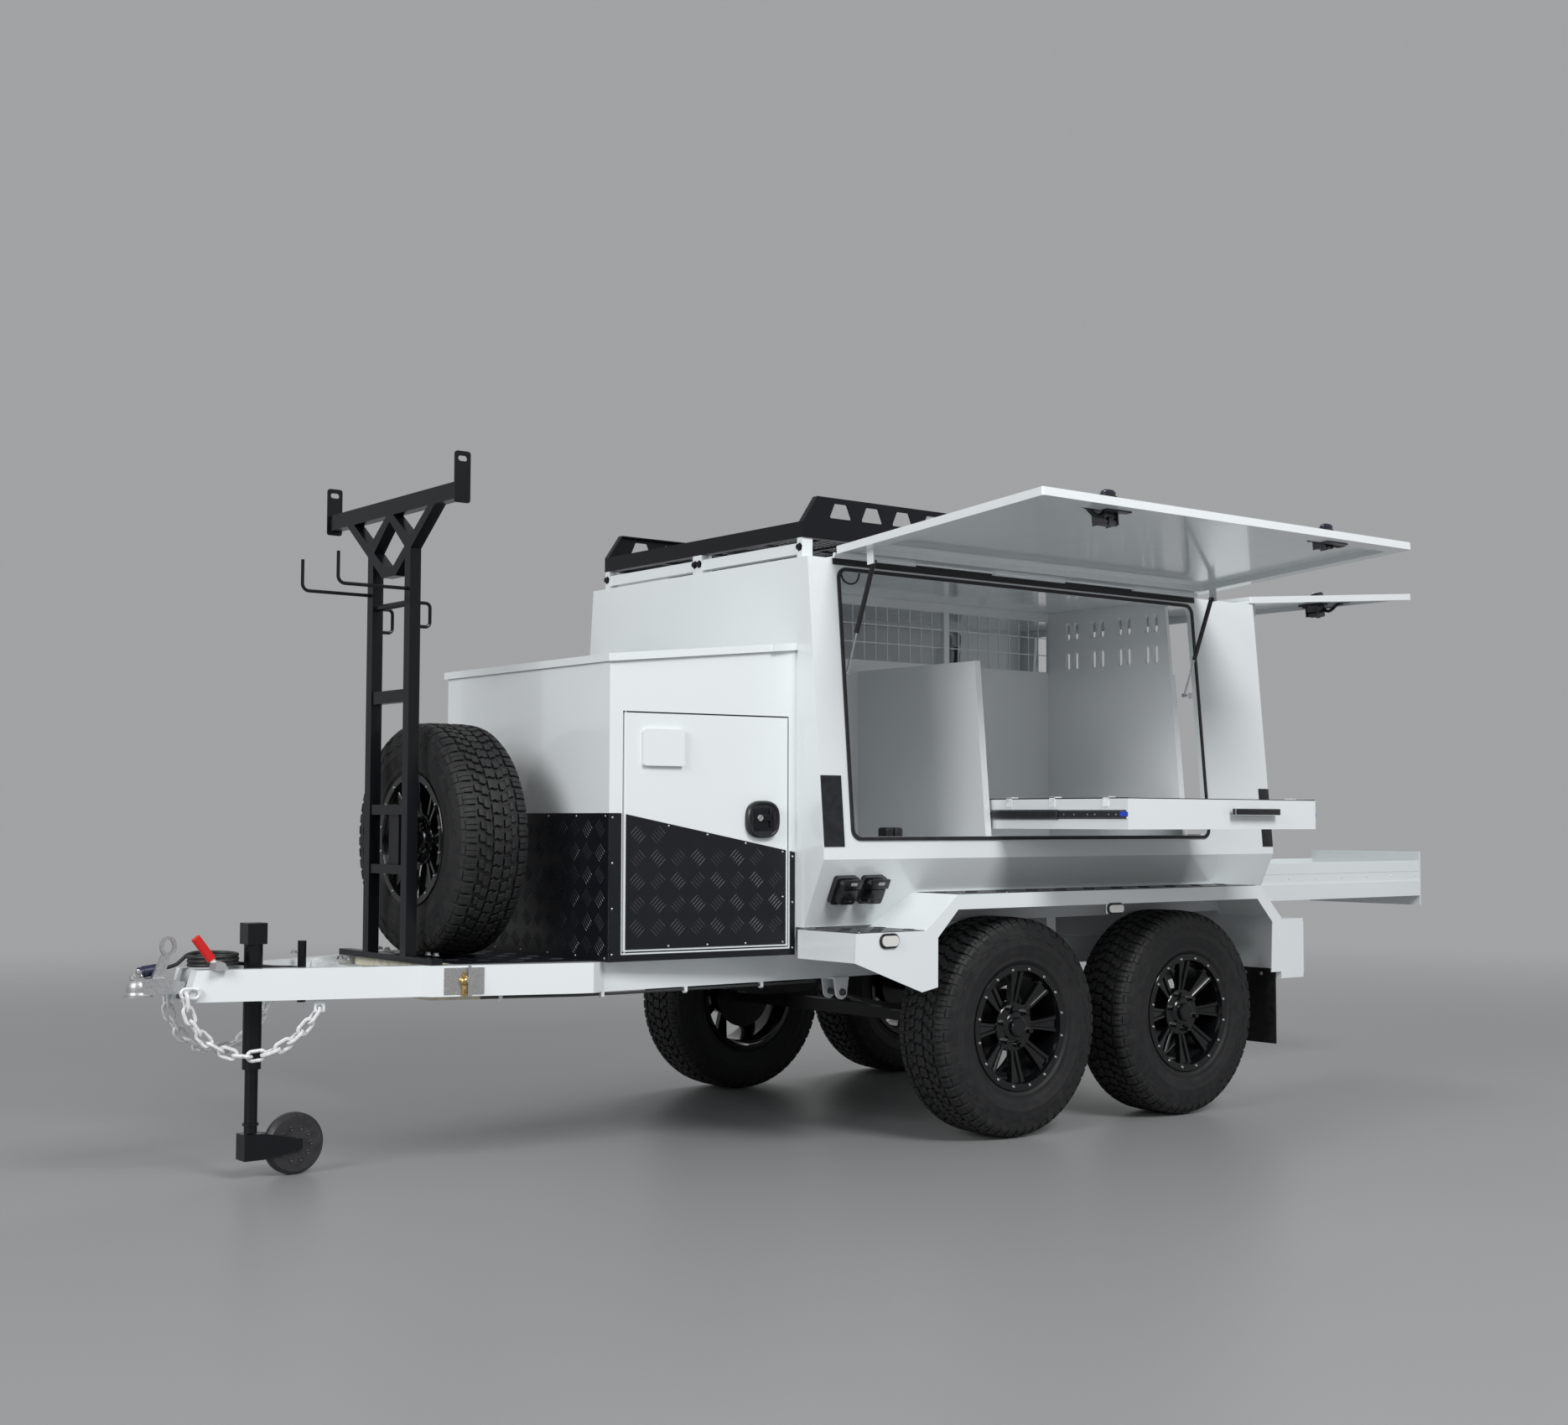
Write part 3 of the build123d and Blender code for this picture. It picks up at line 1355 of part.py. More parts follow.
def strut_solids(hinge, station, rest_angle, low_in):
    """Tube and rod of one gas strut in a hinge's section plane, at one door angle."""
    plane = hinge.offset(station)
    turn = radians(rest_angle - door_open_angle)
    upper_out = strut_door_out * cos(turn) + strut_door_down * sin(turn)
    upper_up = strut_door_out * sin(turn) - strut_door_down * cos(turn)
    run_out = -low_in - upper_out
    run_up = -strut_low_drop - upper_up
    reach = hypot(run_out, run_up)
    start = plane.origin + plane.x_dir * upper_out + plane.y_dir * upper_up
    along = (plane.x_dir * run_out + plane.y_dir * run_up).normalized()
    axis = Plane(origin=start, x_dir=plane.z_dir, z_dir=along)
    cheek = plane.offset(-strut_end_half)
    with BuildPart() as tube:
        with BuildSketch(axis.offset(strut_eye_r - 2)) as body:
            Circle(strut_tube_r)
        extrude(body.sketch, amount=strut_tube_length - strut_eye_r + 2)
        with BuildSketch(cheek) as eye:
            with Locations((upper_out, upper_up)):
                Circle(strut_eye_r)
        extrude(eye.sketch, amount=2 * strut_end_half)
        with BuildSketch(axis.offset(strut_eye_r + 14)) as bore:
            Circle(strut_rod_r + pin_gap)
        extrude(bore.sketch, amount=strut_tube_length, mode=Mode.SUBTRACT)
        with BuildSketch(cheek) as pin_hole:
            with Locations((upper_out, upper_up)):
                Circle(strut_pin_r + pin_gap)
        extrude(pin_hole.sketch, amount=2 * strut_end_half, mode=Mode.SUBTRACT)
    with BuildPart() as rod:
        with BuildSketch(axis.offset(reach - strut_rod_length)) as shaft:
            Circle(strut_rod_r)
        extrude(shaft.sketch, amount=strut_rod_length - strut_eye_r + 2)
        with BuildSketch(cheek) as end:
            with Locations((-low_in, -strut_low_drop)):
                Circle(strut_eye_r)
        extrude(end.sketch, amount=2 * strut_end_half)
    return tube.part, rod.part


def strut_bracket(plane, station):
    """Plate and pin that hold the tube's eye inside the door."""
    turn = radians(door_open_angle)
    down = strut_door_out * sin(turn) + strut_door_down * cos(turn)
    level = strut_door_out * cos(turn) - strut_door_down * sin(turn)
    skin = inner_w + door_thick - 6
    toward = 1 if station < 0 else -1
    start = plane.origin + plane.x_dir * station
    section = Plane(origin=start, x_dir=plane.y_dir, z_dir=plane.x_dir * toward)
    lift = 1 if section.y_dir.dot(plane.z_dir) > 0 else -1
    with BuildPart() as bracket:
        with BuildSketch(section.offset(-strut_end_half - 8)) as plate:
            with Locations((down, lift * (skin + 1 + level - 10) / 2)):
                Rectangle(34, skin + 1 - level + 10)
        extrude(plate.sketch, amount=6)
        with BuildSketch(section.offset(-strut_end_half - 3)) as pin:
            with Locations((down, lift * level)):
                Circle(strut_pin_r)
        extrude(pin.sketch, amount=2 * strut_end_half + 3)
    return bracket.part


side_strut_station = opening_middle_x - strut_front_x
side_door_locks = (-590.0, 590.0)
rear_door_locks = (-300.0, 300.0)
side_size = (side_door_width, side_door_width, side_drop)
rear_size = (rear_door_top_width, rear_door_low_width, rear_drop)
doors = {
    "left": (left_hinge, door_open_angle, side_size, side_door_locks, side_strut_station, strut_low_in),
    "right": (right_hinge, lean_angle, side_size, side_door_locks, side_strut_station, strut_low_in),
    "rear": (rear_hinge, door_open_angle, rear_size, rear_door_locks, rear_strut_station, rear_strut_low_in),
}
for name, (hinge, angle, size, locks, station, low_in) in doors.items():
    plane = door_plane(hinge, angle)
    with BuildPart() as door:
        add(door_panel_solid(plane, *size))
        for place in (-station, station):
            add(strut_bracket(plane, place))
    save(door.part, f"{name}_door")
    pieces = [piece for x in locks for piece in lock_solid(plane, x, size[2])]
    save(Compound(children=pieces), f"{name}_door_locks")
    struts = [strut_solids(hinge, place, angle, low_in) for place in (-station, station)]
    save(Compound(children=[tube for tube, rod in struts]), f"{name}_strut_tubes")
    save(Compound(children=[rod for tube, rod in struts]), f"{name}_strut_rods")

# --------------------------------------------------------------------------------------
# Drawers on their runners
# --------------------------------------------------------------------------------------

drawer_wall = 4.0
slide_height = 45.0
side_drawer_y0 = side_drawer_shut_y - side_drawer_travel
side_drawer_y1 = side_drawer_y0 + side_drawer_depth
side_drawer_x1 = side_drawer_front_x + side_drawer_width
slide_z = side_drawer_z + 30
slide_inner = 3.5            # thickness of the member fixed to the drawer
slide_pack = 10.5            # from the drawer's side to the member fixed in the bay

with BuildPart() as side_drawer:
    box_between(
        (side_drawer_front_x, side_drawer_y0, side_drawer_z),
        (side_drawer_x1, side_drawer_y1, side_drawer_z + side_drawer_height),
    )
    box_between(
        (side_drawer_front_x + drawer_wall, side_drawer_y0 + drawer_wall + 16, side_drawer_z + drawer_wall),
        (side_drawer_x1 - drawer_wall, side_drawer_y1 - drawer_wall, side_drawer_z + side_drawer_height + 1),
        mode=Mode.SUBTRACT,
    )
    for x0, x1 in (
        (side_drawer_front_x - slide_inner, side_drawer_front_x),
        (side_drawer_x1, side_drawer_x1 + slide_inner),
    ):
        box_between((x0, side_drawer_y0 + 4, slide_z + 8), (x1, side_drawer_y1, slide_z + slide_height - 8))
    handle_x = side_drawer_front_x + 0.64 * side_drawer_width
    box_between(
        (handle_x - 130, side_drawer_y0 - 30, side_drawer_z + 52),
        (handle_x + 130, side_drawer_y0 - 14, side_drawer_z + 76),
    )
    for x in (handle_x - 80, handle_x + 80):
        box_between(
            (x - 12, side_drawer_y0 - 16, side_drawer_z + 56),
            (x + 12, side_drawer_y0 + 1, side_drawer_z + 72),
        )
save(side_drawer.part, "side_drawer")

with BuildPart() as side_mids:
    mid_y0 = side_drawer_shut_y - side_drawer_travel / 2 + 4
    for x0, x1 in (
        (side_drawer_front_x - slide_pack + fit_gap, side_drawer_front_x - slide_inner - fit_gap),
        (side_drawer_x1 + slide_inner + fit_gap, side_drawer_x1 + slide_pack - fit_gap),
    ):
        box_between(
            (x0, mid_y0, slide_z + 5),
            (x1, mid_y0 + side_drawer_depth - 4, slide_z + slide_height - 5),
        )
save(side_mids.part, "side_drawer_slides")

rear_drawer_y1 = rear_drawer_near_y + rear_drawer_width
rear_plate_x = canopy_rear_x + run_gap + rear_drawer_travel
rear_plate_z0 = rear_drawer_z - 45
rear_plate_z1 = rear_drawer_z + rear_drawer_height + 42
with BuildPart() as rear_drawer:
    box_between(
        (rear_plate_x - rear_drawer_length, rear_drawer_near_y, rear_drawer_z),
        (rear_plate_x, rear_drawer_y1, rear_drawer_z + rear_drawer_height),
    )
    drawer_front_x = rear_plate_x - rear_drawer_length
    box_between(
        (drawer_front_x + drawer_wall, rear_drawer_near_y + drawer_wall, rear_drawer_z + drawer_wall),
        (rear_plate_x + 1, rear_drawer_y1 - drawer_wall, rear_drawer_z + rear_drawer_height + 1),
        mode=Mode.SUBTRACT,
    )
    box_between(
        (rear_plate_x, rear_drawer_near_y - 4, rear_plate_z0),
        (rear_plate_x + 8, rear_drawer_y1 + 14, rear_plate_z1),
    )
    for y0, y1 in ((rear_drawer_near_y - 6, rear_drawer_near_y), (rear_drawer_y1, rear_drawer_y1 + 6)):
        box_between((drawer_front_x, y0, rear_drawer_z), (rear_plate_x, y1, rear_drawer_z + 70))
save(rear_drawer.part, "rear_drawer")

with BuildPart() as runners:
    for x0, x1 in (
        (front_divider_x + divider_thick + fit_gap, side_drawer_front_x - slide_pack),
        (side_drawer_x1 + slide_pack, rear_divider_x - fit_gap),
    ):
        mouth_y = -(canopy_half(slide_z) - canopy_wall - 6)
        box_between((x0, mouth_y, slide_z), (x1, -80, slide_z + slide_height))
    bay_front_x = rear_plate_x - rear_drawer_length - rear_drawer_travel - 5
    for y0, y1 in (
        (rear_drawer_near_y - 13, rear_drawer_near_y - 6 - fit_gap),
        (rear_drawer_y1 + 6 + fit_gap, rear_drawer_y1 + 13),
    ):
        box_between(
            (bay_front_x, y0, bay_low + fit_gap),
            (canopy_rear_x - canopy_wall - 4, y1, rear_drawer_z + 80),
        )
save(runners.part, "drawer_runners")

# --------------------------------------------------------------------------------------
# Mudguards: folded sheet with a step, an arch, a rear closing face and a lamp box
# --------------------------------------------------------------------------------------

step_front_x = 2093.0
step_rear_x = 2414.0
guard_front_x = 2568.0
guard_rear_x = 4249.0
guard_end_x = 4383.0
guard_end_z = 146.0
guard_low_z = -77.0
arch_front_x = 2470.0
arch_z = 224.0
lamp_box_rear_x = 4528.0
guard_inner_y = 660.0
mark_x = 3381.0              # side marker lamp in the middle of the arch
lamp_box_low_z = -105.0
lamp_box_top_z = 137.0
lamp_box_width = 125.0

with BuildPart() as guard:
    with BuildSketch(Plane.XZ.offset(guard_y - guard_sheet)):
        Polygon(
            (step_front_x, step_z),
            (step_front_x - 4, 54),
            (arch_front_x - 76, -58),
            (arch_front_x - 1, -44),
            (arch_front_x, 128),
            (guard_front_x, arch_z),
            (guard_rear_x - 17, arch_z),
            (guard_end_x - 55, 127),
            (guard_end_x - 64, guard_low_z),
            (guard_end_x, guard_low_z),
            (guard_end_x, guard_end_z),
            (guard_rear_x, guard_top_z),
            (guard_front_x, guard_top_z),
            (step_rear_x, step_z),
            align=None,
        )
    extrude(amount=guard_sheet)
    with BuildSketch(Plane.XZ.offset(guard_inner_y)):
        with BuildLine():
            Polyline(
                (step_front_x, 54),
                (step_front_x, step_z),
                (step_rear_x, step_z),
                (guard_front_x, guard_top_z),
                (guard_rear_x, guard_top_z),
                (guard_end_x, guard_end_z),
                (guard_end_x, guard_low_z),
            )
            offset(amount=-guard_sheet, side=Side.RIGHT, closed=True)
        make_face()
    extrude(amount=guard_y - guard_sheet - guard_inner_y + 1)
    with BuildSketch(Plane.YZ.offset(canopy_front_x)):
        low = canopy_base_z - fit_gap
        Polygon(
            (-canopy_half(low) - fit_gap, low),
            (-canopy_half(guard_top_z + 10) - fit_gap, guard_top_z + 10),
            (0, guard_top_z + 10),
            (0, low),
            align=None,
        )
    extrude(amount=canopy_length, mode=Mode.SUBTRACT)
    box_between((mark_x - 45, -guard_y, arch_z - 36), (mark_x + 45, -guard_y + guard_sheet, arch_z + 1))
    box_between(
        (guard_end_x - 1, -guard_y, lamp_box_low_z),
        (lamp_box_rear_x, -guard_y + lamp_box_width, lamp_box_top_z),
    )
save(both_sides(guard.part), "mudguards")

# Rubber flaps behind the rear wheels
flap_thick = 6.0
flap_low_z = -373.0
flap_top_z = -67.0
with BuildPart() as flap:
    flap_x = guard_end_x - guard_sheet - fit_gap - flap_thick
    box_between((flap_x, -950, flap_low_z), (flap_x + flap_thick, -710, flap_top_z))
save(both_sides(flap.part), "mudflaps")

# Marker lamps on the guards and a light panel on each rear lamp box
with BuildPart() as lamp_set:
    for x, z, length, height in ((2241, 125, 72, 36), (mark_x, 206, 74, 28)):
        with BuildSketch(Plane.XZ.offset(guard_y + fit_gap)):
            with Locations((x, z)):
                RectangleRounded(length, height, height / 2 - 2)
        extrude(amount=12)
    with BuildSketch(Plane.YZ.offset(lamp_box_rear_x + fit_gap)):
        with Locations((-guard_y + lamp_box_width / 2, (lamp_box_low_z + lamp_box_top_z) / 2)):
            RectangleRounded(lamp_box_width - 16, lamp_box_top_z - lamp_box_low_z - 20, 8)
    extrude(amount=14)
save(both_sides(lamp_set.part), "lamps")

# --------------------------------------------------------------------------------------
# Power outlets on the left undercut panel and the bare plate beside the door
# --------------------------------------------------------------------------------------

undercut = atan2(canopy_half_waist - canopy_half_base, canopy_waist_z - canopy_base_z)
outlet_z = 298.0
outlet_size = 104.0
plate_mid_z = 570.0
plate_height = 250.0
outlet_plane = Plane(
    origin=(0, -canopy_half(outlet_z), outlet_z),
    x_dir=(1, 0, 0),
    z_dir=(0, -cos(undercut), -sin(undercut)),
).offset(fit_gap)
lean = radians(lean_angle)
plate_plane = Plane(
    origin=(0, -canopy_half(plate_mid_z), plate_mid_z),
    x_dir=(1, 0, 0),
    z_dir=(0, -cos(lean), sin(lean)),
).offset(fit_gap)
with BuildPart() as fittings:
    for x in (2226, 2353):
        with BuildSketch(outlet_plane):
            with Locations((x, 0)):
                RectangleRounded(outlet_size, outlet_size, 12)
        extrude(amount=22)
        with BuildSketch(outlet_plane.offset(22)):
            with Locations((x, 0)):
                RectangleRounded(outlet_size - 26, outlet_size - 14, 14)
        extrude(amount=26, taper=12)
    with BuildSketch(plate_plane):
        with Locations(((canopy_front_x + opening_front_x) / 2 - 22, 0)):
            Rectangle(92, plate_height)
    extrude(amount=3)
save(fittings.part, "side_fittings")

# --------------------------------------------------------------------------------------
# Ladder rack: two posts, rungs, spare wheel carrier, V-shaped head, hooks and crossbar
# --------------------------------------------------------------------------------------

rack_front = rack_x - post_size / 2
rack_rear = rack_x + post_size / 2
rack_foot_z = rail_top_z + fit_gap
foot_thick = 20.0
post_top_z = 1452.0
rung_bands = ((354.0, 385.0), (553.0, 587.0), (931.0, 974.0))
vee_top_y = 300.0
vee_low_y = 30.0
vee_low_z = 1362.0
vee_depth = 34.0
fork_y = 140.0
end_plate = 57.0
end_plate_low = 1559.0
end_plate_top = 1727.0
hook_wire = 6.0
hook_z = 1310.0
hook_reach = 250.0
hook_rise = 105.0
loop_low_z = 1185.0
loop_high_z = 1265.0
loop_reach = 46.0


def rack_arm(*corners):
    """A flat-sided arm of the rack's head, as deep as the posts."""
    with BuildSketch(Plane.YZ.offset(rack_front)) as arm:
        Polygon(*corners, align=None)
    extrude(arm.sketch, amount=post_size)


def bent_bar(bend_radius, points):
    """A round bar along points with bends."""
    with BuildLine() as path:
        FilletPolyline(*points, radius=bend_radius)
    with BuildSketch(Plane(origin=path.line @ 0, z_dir=path.line % 0)) as wire:
        RegularPolygon(hook_wire, 8)
    sweep(wire.sketch, path=path.line)


with BuildPart() as ladder_rack:
    foot_y = frame_y(rack_x) + rail_width / 2
    box_between((rack_front, -foot_y, rack_foot_z), (rack_rear, foot_y, rack_foot_z + foot_thick))
    for side in (-1, 1):
        y0, y1 = sorted((side * (post_y - post_size / 2), side * (post_y + post_size / 2)))
        box_between((rack_front, y0, rack_foot_z), (rack_rear, y1, post_top_z))
    for low, high in rung_bands:
        box_between((rack_front + 4, -post_y, low), (rack_rear - 4, post_y, high))
    box_between((rack_rear - 8, -36, rung_bands[0][0]), (rack_rear, 36, rung_bands[1][1]))
    with Locations((rack_rear - 4, 0, spare_z)):
        Cylinder(
            15,
            spare_x - hub_face_y - rack_rear + 4 - fit_gap,
            rotation=(0, 90, 0),
            align=(Align.CENTER, Align.CENTER, Align.MIN),
        )
    box_between((rack_front, -bar_half, bar_top_z - bar_depth), (rack_rear, bar_half, bar_top_z))
    bar_low_z = bar_top_z - bar_depth
    for side in (-1, 1):
        rack_arm(
            (side * (vee_top_y - 26), bar_low_z + 1),
            (side * (vee_top_y + 26), bar_low_z + 1),
            (side * (vee_low_y + 18), vee_low_z),
            (0, vee_low_z),
            (0, vee_low_z + vee_depth),
            (side * vee_low_y, vee_low_z + vee_depth),
        )
        rack_arm(
            (0, bar_low_z + 1),
            (side * 24, bar_low_z + 1),
            (side * (fork_y + 24), post_top_z + 20),
            (side * (fork_y - 8), post_top_z - 14),
            (0, bar_low_z - 20),
        )
        with BuildSketch(Plane.XZ.offset(-side * bar_half - 3)) as end:
            with Locations((rack_x, (end_plate_low + end_plate_top) / 2)):
                RectangleRounded(end_plate, end_plate_top - end_plate_low, 10)
            with Locations((rack_x, end_plate_top - 24)):
                SlotOverall(34, 18, mode=Mode.SUBTRACT)
        extrude(end.sketch, amount=6)
        bent_bar(
            24,
            [
                (rack_front + 4, side * post_y, hook_z),
                (rack_front - hook_reach, side * post_y, hook_z),
                (rack_front - hook_reach, side * post_y, hook_z + hook_rise),
            ],
        )
        bent_bar(
            16,
            [
                (rack_rear - 4, side * post_y, loop_high_z),
                (rack_rear + loop_reach, side * post_y, loop_high_z),
                (rack_rear + loop_reach, side * post_y, loop_low_z),
                (rack_rear - 4, side * post_y, loop_low_z),
            ],
        )
    with Locations((rack_x, 0, loop_high_z)):
        Cylinder(11, 2 * post_y, rotation=(90, 0, 0))
save(ladder_rack.part, "ladder_rack")

# --------------------------------------------------------------------------------------
# Roof rack: tray of beams with pierced, sloping side rails, on white cross supports
# --------------------------------------------------------------------------------------

support_top_z = canopy_top_z + 74
support_low_z = canopy_top_z + fit_gap
support_bar = 40.0
support_xs = (2150.0, 2800.0, 3500.0, 4190.0)
rack_beam = 58.0
rack_beam_wide = 34.0
rail_top = support_top_z + 154
rail_lean_x = 66.0           # the side rail's sloping front and rear ends
rail_sheet = 5.0
rail_lip = 26.0
hole_pitch = 150.0
hole_count = 13
tray_x0 = 2126.0
tray_x1 = tray_x0 + roof_rack_length
tray_low_z = support_top_z + fit_gap
tray_top_z = tray_low_z + rack_beam

with BuildPart() as supports:
    for x in support_xs:
        for y in (-roof_rack_half + 20, 0, roof_rack_half - 20):
            half = 14 if y else 28
            box_between((x - 24, y - half, support_low_z), (x + 24, y + half, support_top_z))
        for side in (-1, 1):
            y0, y1 = sorted((side * 24, side * (roof_rack_half - 30)))
            box_between((x - 16, y0, support_low_z + 16), (x + 16, y1, support_low_z + 16 + support_bar))
save(supports.part, "rack_supports")

with BuildPart() as roof_rack:
    with BuildSketch(Plane.XY.offset(tray_low_z)):
        with Locations(((tray_x0 + tray_x1) / 2, 0)):
            Rectangle(roof_rack_length, 2 * roof_rack_half)
            Rectangle(
                roof_rack_length - 2 * rack_beam_wide,
                2 * roof_rack_half - 2 * rack_beam_wide,
                mode=Mode.SUBTRACT,
            )
    extrude(amount=rack_beam)
    with BuildSketch(Plane.XY.offset(tray_low_z + 6)):
        with Locations(((tray_x0 + tray_x1) / 2, 0)):
            with GridLocations(roof_rack_length / 14, 0, 13, 1):
                Rectangle(22, 2 * roof_rack_half - rack_beam_wide)
            with GridLocations(0, roof_rack_half / 2, 1, 3):
                Rectangle(roof_rack_length - rack_beam_wide, 22)
    extrude(amount=8)
    rail_x0 = tray_x0 + rail_lean_x
    rail_x1 = tray_x1 - rail_lean_x
    for side in (-1, 1):
        with BuildSketch(Plane.XZ.offset(-side * (roof_rack_half - rail_lip / 2) - rail_lip / 2)) as rail:
            Polygon(
                (tray_x0, tray_top_z - 1),
                (rail_x0, rail_top),
                (rail_x1, rail_top),
                (tray_x1, tray_top_z - 1),
                align=None,
            )
        extrude(rail.sketch, amount=rail_lip)
        y_in = -side * (roof_rack_half - rail_sheet)
        with BuildSketch(Plane.XZ.offset(y_in)) as pocket:
            Polygon(
                (tray_x0 + 8, tray_top_z),
                (rail_x0 + 4, rail_top - rail_sheet),
                (rail_x1 - 4, rail_top - rail_sheet),
                (tray_x1 - 8, tray_top_z),
                align=None,
            )
        extrude(pocket.sketch, amount=side * 60, mode=Mode.SUBTRACT)
        with BuildSketch(Plane.XZ.offset(-side * roof_rack_half - 20)) as holes:
            with Locations(((tray_x0 + tray_x1) / 2, (tray_top_z + rail_top) / 2)):
                with GridLocations(hole_pitch, 0, hole_count, 1):
                    Polygon((-52, -26), (-28, 28), (28, 28), (52, -26), align=None)
            fillet(holes.vertices(), radius=5)
        extrude(holes.sketch, amount=40, mode=Mode.SUBTRACT)
save(roof_rack.part, "roof_rack")
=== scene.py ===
"""The looks of a tandem-axle tradesman trailer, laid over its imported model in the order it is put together."""

from math import copysign, cos, pi, radians, sin

import bmesh
import bpy
from mathutils import Matrix, Vector


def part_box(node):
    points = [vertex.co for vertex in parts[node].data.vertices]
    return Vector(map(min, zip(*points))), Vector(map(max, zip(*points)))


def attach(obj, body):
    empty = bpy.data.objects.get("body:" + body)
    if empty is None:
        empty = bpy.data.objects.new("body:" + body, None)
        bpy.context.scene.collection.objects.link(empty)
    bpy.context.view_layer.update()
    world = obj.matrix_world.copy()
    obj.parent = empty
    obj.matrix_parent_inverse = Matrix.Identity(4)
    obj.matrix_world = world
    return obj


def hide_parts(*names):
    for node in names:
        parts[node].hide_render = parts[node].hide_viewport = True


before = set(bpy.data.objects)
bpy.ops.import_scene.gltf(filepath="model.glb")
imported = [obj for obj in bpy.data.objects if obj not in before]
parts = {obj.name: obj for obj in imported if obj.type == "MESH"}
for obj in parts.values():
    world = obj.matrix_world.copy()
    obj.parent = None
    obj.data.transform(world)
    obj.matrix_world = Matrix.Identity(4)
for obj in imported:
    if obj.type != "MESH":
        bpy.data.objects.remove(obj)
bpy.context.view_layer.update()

# ----------------------------------------------
# Studio: a grey satin floor that fades into a plain backdrop, two soft lamps over the left
# side and the front, a weaker one behind, and a camera at chest height off the left front.
# ----------------------------------------------

ground_z = -0.615
floor_colour = (0.27, 0.272, 0.277, 1.0)
backdrop = (0.36, 0.363, 0.368, 1.0)
fade_start, fade_end = 3.5, 12.0


def add_node(tree, kind, feeds=None, **settings):
    """A node with its settings, each input linked to a socket or given a value."""
    made = tree.nodes.new(kind)
    for key, value in settings.items():
        setattr(made, key, value)
    for socket, value in (feeds or {}).items():
        if isinstance(value, bpy.types.NodeSocket):
            tree.links.new(value, made.inputs[socket])
        else:
            made.inputs[socket].default_value = value
    return made


def add_object(name, data):
    """An object of this data, put in the scene."""
    made = bpy.data.objects.new(name, data)
    bpy.context.scene.collection.objects.link(made)
    return made


floor_material = bpy.data.materials.new("studio_floor")
floor_material.use_nodes = True
floor_tree = floor_material.node_tree
floor_shader = floor_tree.nodes["Principled BSDF"]
floor_shader.inputs["Base Color"].default_value = floor_colour
floor_shader.inputs["Roughness"].default_value = 0.38
floor_shader.inputs["Specular IOR Level"].default_value = 0.35
floor_place = add_node(floor_tree, "ShaderNodeTexCoord").outputs["Object"]
floor_reach = add_node(floor_tree, "ShaderNodeVectorMath", {0: floor_place}, operation="LENGTH").outputs["Value"]
fade_feeds = {"Value": floor_reach, "From Min": fade_start, "From Max": fade_end}
floor_fade = add_node(floor_tree, "ShaderNodeMapRange", fade_feeds, interpolation_type="SMOOTHSTEP").outputs["Result"]
far_glow = add_node(floor_tree, "ShaderNodeEmission", {"Color": backdrop}).outputs["Emission"]
blend_feeds = {"Fac": floor_fade, 1: floor_shader.outputs["BSDF"], 2: far_glow}
floor_blend = add_node(floor_tree, "ShaderNodeMixShader", blend_feeds)
floor_tree.links.new(floor_blend.outputs["Shader"], floor_tree.nodes["Material Output"].inputs["Surface"])

floor_mesh = bpy.data.meshes.new("studio_floor")
floor_form = bmesh.new()
bmesh.ops.create_grid(floor_form, x_segments=1, y_segments=1, size=60)
floor_form.to_mesh(floor_mesh)
floor_form.free()
floor_mesh.materials.append(floor_material)
floor = add_object("studio_floor", floor_mesh)
floor.location = (3.0, 0.0, ground_z)

world = bpy.data.worlds.new("studio_air")
world.use_nodes = True
bpy.context.scene.world = world
air = world.node_tree
soft_air = air.nodes["Background"]
soft_air.inputs["Color"].default_value = (0.975, 0.99, 1.0, 1.0)
soft_air.inputs["Strength"].default_value = 0.44
seen_air = add_node(air, "ShaderNodeBackground", {"Color": backdrop, "Strength": 1.0})
ray_kinds = add_node(air, "ShaderNodeLightPath").outputs
seen_rays = ray_kinds["Is Camera Ray"]
for ray in ("Is Glossy Ray", "Is Transmission Ray"):
    either = add_node(air, "ShaderNodeMath", {0: seen_rays, 1: ray_kinds[ray]}, operation="MAXIMUM")
    seen_rays = either.outputs["Value"]
air_feeds = {"Fac": seen_rays, 1: soft_air.outputs["Background"], 2: seen_air.outputs["Background"]}
air_choice = add_node(air, "ShaderNodeMixShader", air_feeds)
air.links.new(air_choice.outputs["Shader"], air.nodes["World Output"].inputs["Surface"])

lamp_places = {
    "key": ((2.0, -8.6, 7.2), (3.0, 0.0, 0.4), 3.6, 720.0),
    "front_fill": ((-9.4, -3.0, 5.2), (1.5, 0.0, 0.4), 5.5, 740.0),
    "rear_rim": ((9.0, 5.0, 6.0), (3.5, 0.0, 0.5), 4.0, 200.0),
}
for lamp_name, (place, target, lamp_size, power) in lamp_places.items():
    lamp_data = bpy.data.lights.new(lamp_name, "AREA")
    lamp_data.energy = power
    lamp_data.size = lamp_size
    lamp = add_object(lamp_name, lamp_data)
    lamp.location = place
    lamp.rotation_euler = (Vector(target) - Vector(place)).to_track_quat("-Z", "Y").to_euler()

camera_data = bpy.data.cameras.new("camera")
camera_data.sensor_width = 36.0
camera_data.lens = 44.7
camera = add_object("camera", camera_data)
camera.location = (-2.196, -6.012, 0.536)
camera_turn, camera_rise, camera_roll = radians(-38.29), radians(3.18), radians(0.13)
camera.matrix_world = (
    Matrix.Translation(camera.location)
    @ Matrix.Rotation(camera_turn, 4, "Z")
    @ Matrix.Rotation(pi / 2 + camera_rise, 4, "X")
    @ Matrix.Rotation(camera_roll, 4, "Z")
)
bpy.context.scene.camera = camera
bpy.context.scene.view_settings.view_transform = "Standard"

# ----------------------------------------------
# Trailer cable: a 12 mm seven-core lead in a ribbed black sheath.  It leaves the gland on
# the first crossmember, runs over the drawbar to three stacked turns, and ends in its plug.
# ----------------------------------------------


